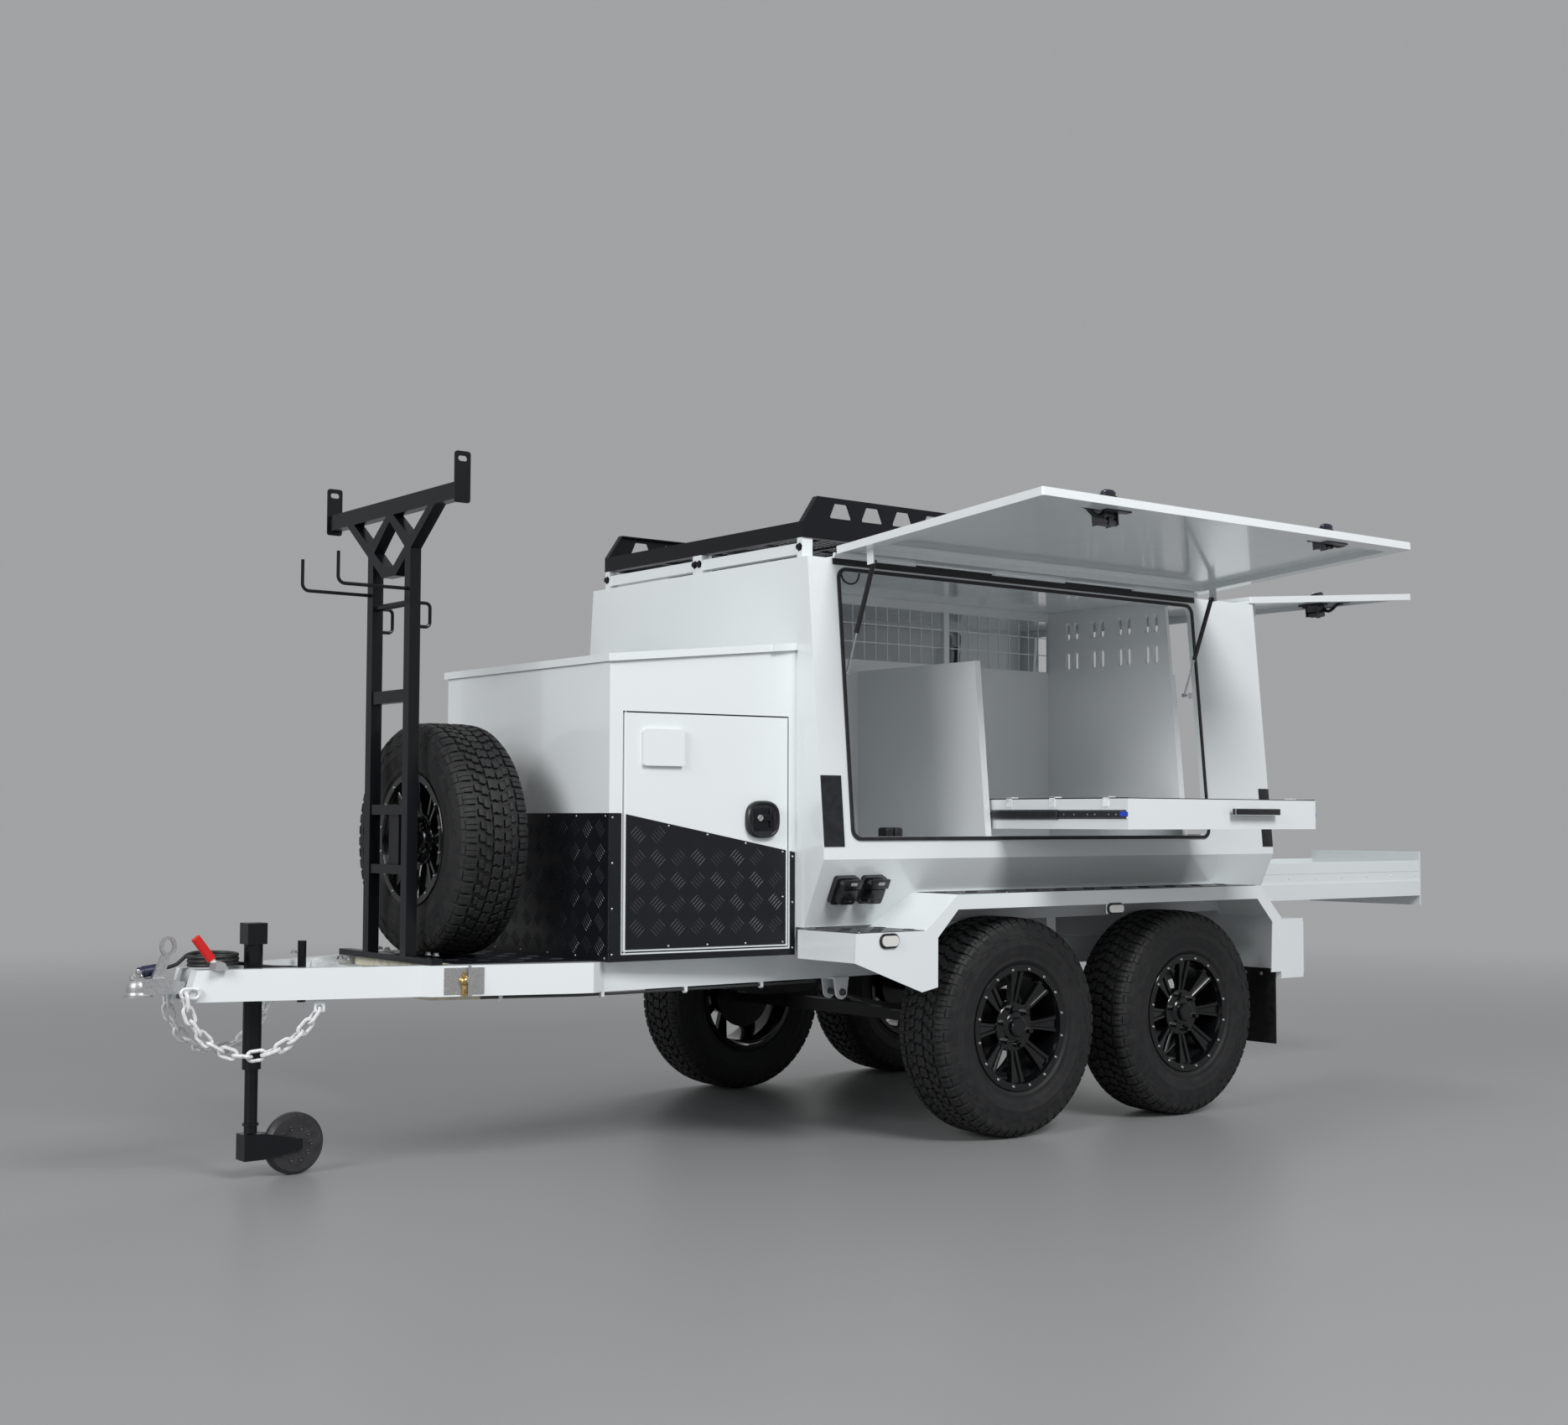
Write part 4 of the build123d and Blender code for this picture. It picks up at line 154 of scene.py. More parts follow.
def finish(name, colour, roughness, metallic=0.0):
    """A material with its principled shader set, and a mapping of the piece's own place."""
    material = bpy.data.materials.new(name)
    material.use_nodes = True
    shader = material.node_tree.nodes["Principled BSDF"]
    shader.inputs["Base Color"].default_value = (*colour, 1.0)
    shader.inputs["Roughness"].default_value = roughness
    shader.inputs["Metallic"].default_value = metallic
    return material, shader, add_node(material.node_tree, "ShaderNodeTexCoord").outputs["Object"]


def feed(shader, socket, value):
    """Links a value to one of the shader's sockets."""
    shader.id_data.links.new(value, shader.inputs[socket])


def grain(material, place, scale, detail=3.0, roughness=0.5):
    """The output of a noise over the piece."""
    feeds = {"Scale": scale, "Detail": detail, "Roughness": roughness, "Vector": place}
    return add_node(material.node_tree, "ShaderNodeTexNoise", feeds).outputs["Fac"]


def spread(material, value, low, high, start=0.3, stop=0.7):
    """A value stretched between two limits."""
    feeds = {"From Min": start, "From Max": stop, "To Min": low, "To Max": high, "Value": value}
    return add_node(material.node_tree, "ShaderNodeMapRange", feeds).outputs["Result"]


def two_tone(material, value, first, second):
    """A colour between two, chosen by a value."""
    feeds = {"A": (*first, 1.0), "B": (*second, 1.0), "Factor": value}
    return add_node(material.node_tree, "ShaderNodeMix", feeds, data_type="RGBA").outputs["Result"]


def relief(material, shader, height, distance, strength=0.5):
    """A bump from a height."""
    feeds = {"Distance": distance, "Strength": strength, "Height": height}
    feed(shader, "Normal", add_node(material.node_tree, "ShaderNodeBump", feeds).outputs["Normal"])


def moulding(name, colour, roughness, texture_scale=900.0):
    """Moulded plastic or rubber with a fine texture and slightly uneven sheen."""
    material, shader, place = finish(name, colour, roughness)
    mottle = grain(material, place, 35.0)
    lighter = tuple(min(1.0, c * 1.5 + 0.004) for c in colour)
    feed(shader, "Base Color", two_tone(material, spread(material, mottle, 0.0, 1.0), colour, lighter))
    feed(shader, "Roughness", spread(material, mottle, roughness - 0.06, roughness + 0.08))
    relief(material, shader, grain(material, place, texture_scale, 2.0), 0.0002, 0.35)
    return material


def dress(material, *nodes):
    """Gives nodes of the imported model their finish."""
    for node in nodes:
        owner = parts[node]
        if owner.material_slots:
            for slot in owner.material_slots:
                slot.material = material
        else:
            owner.data.materials.append(material)


def line_piece(name, routes, radius, material, kind="NURBS", round_steps=3, steps=6):
    """A round line along each route, its ends closed."""
    curve = bpy.data.curves.new(name, "CURVE")
    curve.dimensions = "3D"
    curve.bevel_depth = radius
    curve.bevel_resolution = round_steps
    curve.resolution_u = steps
    curve.use_fill_caps = True
    for route in routes:
        line = curve.splines.new(kind)
        line.points.add(len(route) - 1)
        for point, spot in zip(line.points, route):
            point.co = (*spot, 1.0)
        if kind == "NURBS":
            line.order_u = 3
            line.use_endpoint_u = True
    curve.materials.append(material)
    return add_object(name, curve)


cable_radius = 0.006
coil_centre = Vector((0.238, 0.0, 0.0))
coil_radius = 0.076
coil_low_z = 0.0717
turn_pitch = 0.0125
lead_angle = radians(75)
tail_angle = radians(112)

lead_way = Vector((sin(lead_angle), -cos(lead_angle), 0.0))
lead_in = coil_centre + Vector((coil_radius * cos(lead_angle), coil_radius * sin(lead_angle), coil_low_z))
lead_in += lead_way * 0.05
tail_way = Vector((-sin(tail_angle), cos(tail_angle), -0.14)).normalized()
tail_in = coil_centre + Vector((coil_radius * cos(tail_angle), coil_radius * sin(tail_angle), 0.084))
tail_in += tail_way * 0.046
plug_end = Vector((0.082, 0.035, 0.066))

lead_route = [(0.657, 0.058, 0.03), (0.628, 0.058, 0.03), (0.59, 0.06, 0.041), (0.54, 0.062, 0.049)]
lead_route += [(0.47, 0.06, 0.052), (0.408, 0.052, 0.061), lead_in + lead_way * 0.045, lead_in]

turns = 3
turn_points = 14
wound_angle = turns * 2 * pi + tail_angle - lead_angle
coil_steps = round(turn_points * wound_angle / (2 * pi))
coil_route = []
for step in range(coil_steps + 1):
    angle = lead_angle + wound_angle * step / coil_steps
    looseness = 1.0 - 0.012 * (1.0 + sin(0.8 * angle))
    reach = coil_radius / cos(pi / turn_points) * looseness
    height = coil_low_z + turn_pitch * (angle - lead_angle) / (2 * pi)
    coil_route.append(coil_centre + Vector((reach * cos(angle), reach * sin(angle), height)))

coil_top = coil_route[-1]
tail_route = [
    coil_top + tail_way * 0.034,
    tail_in + tail_way * 0.01 + Vector((0.0, 0.0, 0.016)),
    tail_in + tail_way * 0.042,
    plug_end,
]

sheath = moulding("cable_sheath", (0.016, 0.016, 0.017), 0.42)
cable = line_piece("trailer_cable", [lead_route + coil_route + tail_route], cable_radius, sheath, round_steps=5)
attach(cable, "trailer")
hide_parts("cable_lead", "cable_coil", "cable_tail")
dress(moulding("plug_shell", (0.01, 0.014, 0.04), 0.38), "cable_plug")

# ----------------------------------------------
# Chassis: welded box section under a gloss white powder coat, with the small hardware that
# hangs from it: bolts through the spring hangers and a dark rod in white clips.
# ----------------------------------------------


def powder_coat(name, colour, roughness, peel=0.00008, coat=0.5, gloss=0.5):
    """Baked paint on metal: even colour, gloss and a faint orange peel."""
    material, shader, place = finish(name, colour, roughness)
    drift = grain(material, place, 1.6, 2.0)
    darker = tuple(c * 0.975 for c in colour)
    feed(shader, "Base Color", two_tone(material, spread(material, drift, 0.0, 1.0), darker, colour))
    haze = grain(material, place, 9.0, 3.0)
    feed(shader, "Roughness", spread(material, haze, roughness - 0.02, roughness + 0.05))
    shader.inputs["Coat Weight"].default_value = coat
    shader.inputs["Coat Roughness"].default_value = 0.05
    shader.inputs["Specular IOR Level"].default_value = gloss
    relief(material, shader, grain(material, place, 260.0, 2.0), peel, 0.12)
    return material


def plated(name, colour, roughness, spangle=60.0, metal=1.0):
    """Bare or plated metal with soft crystals of a lighter and a darker shade."""
    material, shader, place = finish(name, colour, roughness, metal)
    cells = add_node(material.node_tree, "ShaderNodeTexVoronoi", {"Scale": spangle, "Vector": place})
    split = add_node(material.node_tree, "ShaderNodeSeparateColor", {"Color": cells.outputs["Color"]})
    crystal = split.outputs["Red"]
    darker = tuple(c * 0.72 for c in colour)
    feed(shader, "Base Color", two_tone(material, spread(material, crystal, 0.0, 1.0, 0.0, 1.0), darker, colour))
    feed(shader, "Roughness", spread(material, crystal, roughness - 0.07, roughness + 0.1, 0.0, 1.0))
    relief(material, shader, grain(material, place, 180.0, 3.0), 0.0002, 0.3)
    return material


def mesh_from(name, form, smooth=None):
    """The mesh of a form, its faces outward and smooth up to an angle in degrees."""
    bmesh.ops.recalc_face_normals(form, faces=form.faces)
    mesh = bpy.data.meshes.new(name)
    form.to_mesh(mesh)
    form.free()
    if smooth is not None:
        mesh.polygons.foreach_set("use_smooth", [True] * len(mesh.polygons))
        mesh.set_sharp_from_angle(angle=radians(smooth))
    return mesh


def piece_on(name, data, body):
    """A piece that rides on a body."""
    piece = add_object(name, data)
    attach(piece, body)
    return piece


def solid_piece(name, form, material, body, smooth=None):
    """A closed mesh with outward faces and one finish, riding on a body."""
    bmesh.ops.remove_doubles(form, verts=form.verts, dist=0.00001)
    mesh = mesh_from(name, form, smooth)
    mesh.materials.append(material)
    return piece_on(name, mesh, body)


def loft(form, rings, wrapped=False):
    """Faces between rings of points: capped at both ends, or wrapped round to the first."""
    rings = [[form.verts.new(spot) for spot in ring] for ring in rings]
    for low, high in zip(rings, rings[1:] + rings[:1] if wrapped else rings[1:]):
        for i in range(len(low)):
            j = (i + 1) % len(low)
            form.faces.new((low[i], low[j], high[j], high[i]))
    if not wrapped:
        form.faces.new(list(reversed(rings[0])))
        form.faces.new(rings[-1])


def prism(form, outline, start, reach, ease=0.0):
    """A closed prism of a flat outline pushed along a reach, its two end rims eased."""
    reach = Vector(reach)
    middle = sum((Vector(p) for p in outline), Vector()) / len(outline)
    levels = [(0.0, 1.0), (1.0, 1.0)]
    if ease:
        share = ease / reach.length
        size = max((Vector(p) - middle).length for p in outline)
        levels = [(0.0, 1.0 - ease / size), (share, 1.0), (1.0 - share, 1.0), (1.0, 1.0 - ease / size)]
    rings = []
    for along, scale in levels:
        rings.append([Vector(start) + middle + (Vector(p) - middle) * scale + reach * along for p in outline])
    loft(form, rings)


def angles(count, offset=0.0):
    """Even steps round a circle."""
    return [2 * pi * (step + offset) / count for step in range(count)]


def turned(form, profile, origin, axis, count=24):
    """A closed turned solid: (radius, distance) points along an axis, capped at both ends."""
    axis = Vector(axis).normalized()
    u = axis.orthogonal().normalized()
    v = axis.cross(u)
    rings = []
    for radius, along in profile:
        spots = [u * (radius * cos(a)) + v * (radius * sin(a)) for a in angles(count)]
        rings.append([Vector(origin) + axis * along + spot for spot in spots])
    loft(form, rings)


def start_tree(name, *inputs):
    """A tree with named inputs, each with its kind and default, and one geometry output."""
    tree = bpy.data.node_groups.new(name, "GeometryNodeTree")
    for label, kind, *default in inputs:
        socket = tree.interface.new_socket(label, in_out="INPUT", socket_type="NodeSocket" + kind)
        if default:
            socket.default_value = default[0]
    tree.interface.new_socket("Geometry", in_out="OUTPUT", socket_type="NodeSocketGeometry")
    return tree, tree.nodes.new("NodeGroupInput").outputs


def end_tree(tree, geometry, material):
    """Ends a tree with a finish set on its real geometry."""
    coat = add_node(tree, "GeometryNodeSetMaterial", {"Geometry": geometry, "Material": material})
    out = tree.nodes.new("NodeGroupOutput")
    tree.links.new(coat.outputs["Geometry"], out.inputs["Geometry"])
    return tree


def attribute(tree, name, kind="FLOAT_VECTOR"):
    """The values of a named attribute on each point."""
    return add_node(tree, "GeometryNodeInputNamedAttribute", {"Name": name}, data_type=kind).outputs["Attribute"]


def copies_on(tree, points, item, rotation, **feeds):
    """Real copies of an item on points, each turned by a rotation."""
    feeds |= {"Points": points, "Instance": item, "Rotation": rotation}
    copies = add_node(tree, "GeometryNodeInstanceOnPoints", feeds)
    real = add_node(tree, "GeometryNodeRealizeInstances", {"Geometry": copies.outputs["Instances"]})
    return real.outputs["Geometry"]


def fixing_tree():
    """One fixing on each point, turned to the point's own facing and sized by an input."""
    inputs = (("Points", "Geometry"), ("Fixing", "Object"), ("Size", "Float", 1.0), ("Finish", "Material"))
    tree, given = start_tree("fixings", *inputs)
    outward = {"Vector": attribute(tree, "facing")}
    turn = add_node(tree, "FunctionNodeAlignRotationToVector", outward, axis="Z").outputs["Rotation"]
    item = add_node(tree, "GeometryNodeObjectInfo", {"Object": given["Fixing"]}).outputs["Geometry"]
    copies = copies_on(tree, given["Points"], item, turn, Scale=given["Size"])
    return end_tree(tree, copies, given["Finish"])


def run_tree(name, tree, base_mesh, values, body):
    """Applies a tree to a base mesh and keeps the result as one plain piece on a body."""
    base = add_object(name + "_base", base_mesh)
    modifier = base.modifiers.new("make", "NODES")
    modifier.node_group = tree
    sockets = {s.name: s.identifier for s in tree.interface.items_tree if s.in_out == "INPUT"}
    for label, value in values.items():
        modifier[sockets[label]] = value
    bpy.context.view_layer.update()
    seen = base.evaluated_get(bpy.context.evaluated_depsgraph_get())
    mesh = bpy.data.meshes.new_from_object(seen)
    mesh.name = name
    base.modifiers.remove(modifier)
    bpy.data.objects.remove(base)
    return piece_on(name, mesh, body)


fixings = fixing_tree()


def fixing_form(name, profile, count=8, smooth=40):
    """A small turned form, kept aside for its copies."""
    form = bmesh.new()
    turned(form, profile, (0, 0, 0), (0, 0, 1), count)
    return bpy.data.objects.new(name, mesh_from(name, form, smooth))


def set_fixings(name, fixing, places, material, body, size=1.0):
    """Fixings at places, each a position and the direction it faces."""
    points = bpy.data.meshes.new(name + "_points")
    points.from_pydata([tuple(place) for place, facing in places], [], [])
    facings = points.attributes.new("facing", "FLOAT_VECTOR", "POINT")
    for spot, (place, facing) in zip(facings.data, places):
        spot.vector = Vector(facing).normalized()
    return run_tree(name, fixings, points, {"Fixing": fixing, "Size": size, "Finish": material}, body)


rail_y, rail_low = 0.485, -0.035
pin_z = -0.0895
axle_xs = (2.913, 3.843)

white_coat = powder_coat("white_coat", (0.77, 0.812, 0.822), 0.15)
zinc = plated("zinc_plate", (0.66, 0.67, 0.68), 0.3, 300.0)
dress(white_coat, "chassis_frame", "spring_hangers")

# a six-sided head stands on its washer, on the surface that it is fixed to
bolt_profile = [(0.012, 0.0), (0.012, 0.002), (0.0085, 0.002), (0.0085, 0.008), (0.006, 0.0095)]
bolt_head = fixing_form("bolt_head", bolt_profile, 6, 20)
rivet_head = fixing_form("rivet_head", [(0.0042, 0.0), (0.0036, 0.0012), (0.0018, 0.0021)], 8)

hanger_pins = []
for pin_xs, face_y in (((2.408, 3.378, 4.348), rail_y + 0.0395), ((3.308, 3.448), rail_y + 0.0505)):
    for pin_x in pin_xs:
        for side in (-1, 1):
            hanger_pins.append(((pin_x, side * face_y, pin_z), (0, side, 0)))
set_fixings("spring_pin_bolts", bolt_head, hanger_pins, zinc, "trailer", 1.25)

rod_route = [(0.99, -0.382, -0.043), (1.3, -0.488, -0.044), (1.46, -0.503, -0.044), (2.3, -0.503, -0.046)]
rod_coat = powder_coat("rod_coat", (0.03, 0.031, 0.032), 0.4)
rod_piece = line_piece("under_rail_rod", [rod_route], 0.005, rod_coat, kind="POLY")
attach(rod_piece, "trailer")

clip_shape = ((-0.009, 0), (0.009, 0), (0.009, -0.017), (0.004, -0.022), (-0.004, -0.022), (-0.009, -0.017))
clips = bmesh.new()
for clip_x in (1.05, 1.38, 1.72, 2.05):
    clip_y = -0.503 if clip_x > 1.33 else -0.488 + (1.3 - clip_x) * 0.342
    outline = [(0, y, z) for y, z in clip_shape]
    prism(clips, outline, (clip_x - 0.006, clip_y, rail_low - 0.0001), (0.012, 0, 0), 0.001)
solid_piece("rod_clips", clips, white_coat, "trailer")

# ----------------------------------------------
# Coupling and handbrake: a pressed ball socket, hot-dip galvanised, with a stud and cone
# washer on its dome, a bent latch plate, a lifting bow and the brake lever's vinyl grip.
# ----------------------------------------------

galvanised = plated("galvanised_steel", (0.55, 0.56, 0.57), 0.4, 420.0, 0.8)
dress(galvanised, "coupling")

stud = bmesh.new()
stud_profile = [(0.014, 0.0), (0.014, 0.003), (0.009, 0.008), (0.006, 0.0085), (0.006, 0.022), (0.005, 0.024)]
turned(stud, stud_profile, (0, 0, 0.0465), (0, 0, 1), 18)
turned(stud, [(0.0105, 0.0), (0.0105, 0.007), (0.009, 0.008)], (0, 0, 0.0555), (0, 0, 1), 6)
solid_piece("coupling_stud", stud, zinc, "trailer", 30)

red_vinyl = (0.62, 0.012, 0.01)
grip, grip_shader, grip_place = finish("red_vinyl_on_zinc", red_vinyl, 0.36)
grip_along = Vector((-sin(radians(37.5)), 0, cos(radians(37.5))))
grip_start = Vector((0.208, -0.097, 0.08)).dot(grip_along) + 0.0215
reach_feeds = {0: grip_place, 1: grip_along}
reach = add_node(grip.node_tree, "ShaderNodeVectorMath", reach_feeds, operation="DOT_PRODUCT").outputs["Value"]
sleeve = spread(grip, reach, 0.0, 1.0, grip_start - 0.0002, grip_start + 0.0002)
feed(grip_shader, "Base Color", two_tone(grip, sleeve, (0.6, 0.61, 0.62), red_vinyl))
feed(grip_shader, "Metallic", spread(grip, sleeve, 0.8, 0.0, 0.0, 1.0))
dress(grip, "handbrake_lever")

# ----------------------------------------------
# Safety chains: short-link welded chain under a white coat that is rubbed at the bends.
# ----------------------------------------------

chain_white, worn_grey = (0.74, 0.75, 0.76), (0.42, 0.43, 0.44)
chain_coat, chain_shader, chain_place = finish("chain_coat", chain_white, 0.34)
rub = grain(chain_coat, chain_place, 120.0, 4.0)
worn = spread(chain_coat, rub, 0.0, 1.0, 0.56, 0.72)
feed(chain_shader, "Base Color", two_tone(chain_coat, worn, chain_white, worn_grey))
relief(chain_coat, chain_shader, rub, 0.0003, 0.3)
dress(chain_coat, "safety_chains")

# ----------------------------------------------
# Jockey wheel: a square-headed black tube in its clamp, an inner leg, a swivel fork and a
# moulded wheel with zinc hub caps and a ring of small bosses.
# ----------------------------------------------

black_coat = powder_coat("black_satin", (0.0065, 0.007, 0.009), 0.24, 0.00008, 0.0, 0.28)
dress(black_coat, "jockey_tube", "jockey_leg", "jockey_fork")
wheel_plastic = moulding("jockey_wheel_plastic", (0.02, 0.02, 0.022), 0.42)
dress(wheel_plastic, "jockey_wheel")

jockey_hub = Vector((0.52, 0.0, -0.515))
boss_ring = 0.052
hub_caps = bmesh.new()
cap_profile = [(0.02, 0.0205), (0.02, 0.0265), (0.015, 0.0295)]
for side in (-1, 1):
    turned(hub_caps, cap_profile, jockey_hub, (0, side, 0), 20)
solid_piece("jockey_hub_caps", hub_caps, zinc, "jockey_wheel", 30)
rib = fixing_form("jockey_rim_boss", [(0.0085, 0.0), (0.0085, 0.0022), (0.006, 0.003), (0.0035, 0.0012)], 12)
boss_places = []
for angle in angles(10):
    for side in (-1, 1):
        away = Vector((boss_ring * cos(angle), side * 0.0215, boss_ring * sin(angle)))
        boss_places.append((jockey_hub + away, (0, side, 0)))
set_fixings("jockey_wheel_bosses", rib, boss_places, wheel_plastic, "jockey_wheel")

# ----------------------------------------------
# Drawbar deck and water: black five-bar tread plate over a moulded tank, a stainless plate
# riveted to the rail, and a brass ball tap.
# ----------------------------------------------


def tread_tree():
    """Five-bar tread: a lattice of bar groups on a sheet, each second group turned across."""
    tree, given = start_tree(
        "five_bar_tread",
        ("Sheet", "Geometry"),
        ("Bar", "Object"),
        ("Bar gap", "Float", 0.011),
        ("Turn", "Float", pi / 4),
        ("Finish", "Material"),
    )
    turner = "FunctionNodeAlignRotationToVector"
    outward = add_node(tree, turner, {"Vector": attribute(tree, "facing")}, axis="Z").outputs["Rotation"]
    level = add_node(tree, turner, {"Rotation": outward, "Vector": attribute(tree, "along")}, axis="X", pivot_axis="Z")
    crossed = attribute(tree, "crossed", "FLOAT")
    quarter = add_node(tree, "ShaderNodeMath", {0: crossed, 1: pi / 2}, operation="MULTIPLY")
    slant = add_node(tree, "ShaderNodeMath", {0: quarter.outputs["Value"], 1: given["Turn"]}, operation="ADD")
    spin = add_node(tree, "FunctionNodeAxisAngleToRotation", {"Axis": (0, 0, 1), "Angle": slant.outputs["Value"]})
    both_turns = {"Rotation": level.outputs["Rotation"], "Rotate By": spin.outputs["Rotation"]}
    turned_group = add_node(tree, "FunctionNodeRotateRotation", both_turns, rotation_space="LOCAL")
    step = add_node(tree, "ShaderNodeCombineXYZ", {"Y": given["Bar gap"]}).outputs["Vector"]
    start = add_node(tree, "ShaderNodeVectorMath", {0: step, "Scale": -2.0}, operation="SCALE").outputs["Vector"]
    five = add_node(tree, "GeometryNodeMeshLine", {"Count": 5, "Start Location": start, "Offset": step})
    bar = add_node(tree, "GeometryNodeObjectInfo", {"Object": given["Bar"]})
    group_feeds = {"Points": five.outputs["Mesh"], "Instance": bar.outputs["Geometry"]}
    group = add_node(tree, "GeometryNodeInstanceOnPoints", group_feeds).outputs["Instances"]
    copies = copies_on(tree, given["Sheet"], group, turned_group.outputs["Rotation"])
    return end_tree(tree, copies, given["Finish"])


five_bar_tread = tread_tree()

bar_form = bmesh.new()
foot = [(-0.024, 0), (-0.014, -0.0023), (0.014, -0.0023), (0.024, 0), (0.014, 0.0023), (-0.014, 0.0023)]
foot = [bar_form.verts.new((x, y, 0)) for x, y in foot]
ridge = [bar_form.verts.new((x, 0, 0.0015)) for x in (-0.016, 0.016)]
for corners in (
    (foot[0], foot[1], ridge[0]),
    (foot[1], foot[2], ridge[1], ridge[0]),
    (foot[2], foot[3], ridge[1]),
    (foot[3], foot[4], ridge[1]),
    (foot[4], foot[5], ridge[0], ridge[1]),
    (foot[5], foot[0], ridge[0]),
    tuple(reversed(foot)),
):
    bar_form.faces.new(corners)
tread_bar = bpy.data.objects.new("tread_bar", mesh_from("tread_bar", bar_form))


def inside(outline, place, margin):
    """Whether a place lies inside a convex outline by a margin, corners given in turn."""
    edges = list(zip(outline, outline[1:] + outline[:1]))
    way = 1 if sum(a[0] * b[1] - b[0] * a[1] for a, b in edges) > 0 else -1
    for (ax, ay), (bx, by) in edges:
        run = ((bx - ax) ** 2 + (by - ay) ** 2) ** 0.5
        if way * ((bx - ax) * (place[1] - ay) - (by - ay) * (place[0] - ax)) / run < margin:
            return False
    return True


def tread_on(name, sheets, body):
    """Five-bar tread over flat sheets: each an origin, two edge directions and an outline."""
    pitch, margin = 0.078, 0.034
    spots, alongs, facings, crosses = [], [], [], []
    for origin, u, v, outline in sheets:
        origin, u, v = Vector(origin), Vector(u).normalized(), Vector(v).normalized()
        low_u, high_u = min(p[0] for p in outline), max(p[0] for p in outline)
        low_v, high_v = min(p[1] for p in outline), max(p[1] for p in outline)
        columns = int((high_u - low_u - 2 * margin) / pitch)
        rows = int((high_v - low_v - 2 * margin) / pitch)
        start_u = (low_u + high_u - columns * pitch) / 2
        start_v = (low_v + high_v - rows * pitch) / 2
        for i in range(columns + 1):
            for j in range(rows + 1):
                place = (start_u + i * pitch, start_v + j * pitch)
                if inside(outline, place, margin):
                    spots.append(tuple(origin + u * place[0] + v * place[1]))
                    alongs.append(u)
                    facings.append(u.cross(v))
                    crosses.append(float((i + j) % 2))
    sheet = bpy.data.meshes.new(name + "_points")
    sheet.from_pydata(spots, [], [])
    for label, values in (("along", alongs), ("facing", facings)):
        for spot, value in zip(sheet.attributes.new(label, "FLOAT_VECTOR", "POINT").data, values):
            spot.vector = value
    for spot, value in zip(sheet.attributes.new("crossed", "FLOAT", "POINT").data, crosses):
        spot.value = value
    values = {"Bar": tread_bar, "Finish": bar_painted_highlight}
    return run_tree(name, five_bar_tread, sheet, values, body)


tread_black = powder_coat("tread_black", (0.0055, 0.0065, 0.01), 0.3, 0.00006, 0.0, 0.38)
# the bars are a shade lighter and glossier than the sheet they stand on: a painted highlight for the light their
# ridges catch
bar_painted_highlight = powder_coat("tread_bar_painted_highlight", (0.02, 0.022, 0.027), 0.25, 0.00004, 0.0, 0.55)
dress(tread_black, "drawbar_deck")
deck_low, deck_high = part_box("drawbar_deck")
nose_half, heel_half = 0.338, 0.48
nose_x, heel_x = deck_low[0], deck_high[0]
deck_outline = [(nose_x, -nose_half), (heel_x, -heel_half), (heel_x, heel_half), (nose_x, nose_half)]
tread_on("deck_tread", [((0, 0, deck_high[2]), (1, 0, 0), (0, 1, 0), deck_outline)], "trailer")

tank_plastic = moulding("tank_polythene", (0.52, 0.5, 0.4), 0.42, 400.0)
dress(tank_plastic, "water_tank")

brass = plated("tap_brass", (0.66, 0.47, 0.2), 0.26, 500.0)
stainless = plated("stainless_plate", (0.74, 0.74, 0.73), 0.26, 700.0)
dress(stainless, "tank_tap")

tap_turn = Matrix.Rotation(-0.3466, 3, "Z")
tap_out = tap_turn @ Vector((0, -1, 0))
tap_along = tap_turn @ Vector((1, 0, 0))
tap_middle = Vector((0.9185, -0.3615, 0.015)) + tap_out * 0.0065
up = Vector((0, 0, 1))
ball = tap_middle + tap_along * 0.015 + tap_out * 0.022
body_profile = [(0.016, 0.0), (0.016, 0.004), (0.013, 0.005), (0.013, 0.017), (0.0155, 0.018), (0.0155, 0.027)]
ball_profile = [(0.0, -0.0175), (0.009, -0.015), (0.0165, -0.007), (0.0175, 0.0), (0.0165, 0.007), (0.009, 0.015)]
spout_profile = [(0.0125, 0.0), (0.0125, 0.012), (0.0095, 0.013), (0.0095, 0.034), (0.0108, 0.035), (0.0108, 0.039)]
tap_form = bmesh.new()
for profile, origin, axis, count in (
    (body_profile + [(0.011, 0.029)], ball - tap_out * 0.021, tap_out, 6),
    (ball_profile + [(0.0, 0.0175)], ball + tap_out * 0.002, up, 18),
    (spout_profile, ball - up * 0.008, -up, 12),
    ([(0.007, 0.0), (0.007, 0.014), (0.0045, 0.016)], ball + up * 0.012, up, 12),
):
    turned(tap_form, profile, origin, axis, count)
solid_piece("tap_valve", tap_form, brass, "trailer", 35)
lever = bmesh.new()
u, w = tap_along * 0.0055, tap_out * 0.0012
lever_root = ball + up * 0.0255 + tap_out * 0.003
prism(lever, [-u - w, u - w, u + w, -u + w], lever_root, tap_out * 0.01 - up * 0.052, 0.001)
solid_piece("tap_lever", lever, brass, "trailer")
tap_rivets = []
for u_way in (-0.058, 0.058):
    for v_way in (-0.036, 0.036):
        tap_rivets.append((tap_middle + tap_along * u_way + up * v_way + tap_out * 0.0002, tap_out))
set_fixings("tap_plate_rivets", rivet_head, tap_rivets, zinc, "trailer", 1.3)

# ----------------------------------------------
# Wheels: wide all-terrain tyres moulded in black rubber, five rows of blocks with lugs that
# bite over the shoulder, on gloss black split-spoke rims with a ring of bright bolts.
# ----------------------------------------------

tyre_r = 0.4
tread_pitches = 29
tread_depth = 0.011


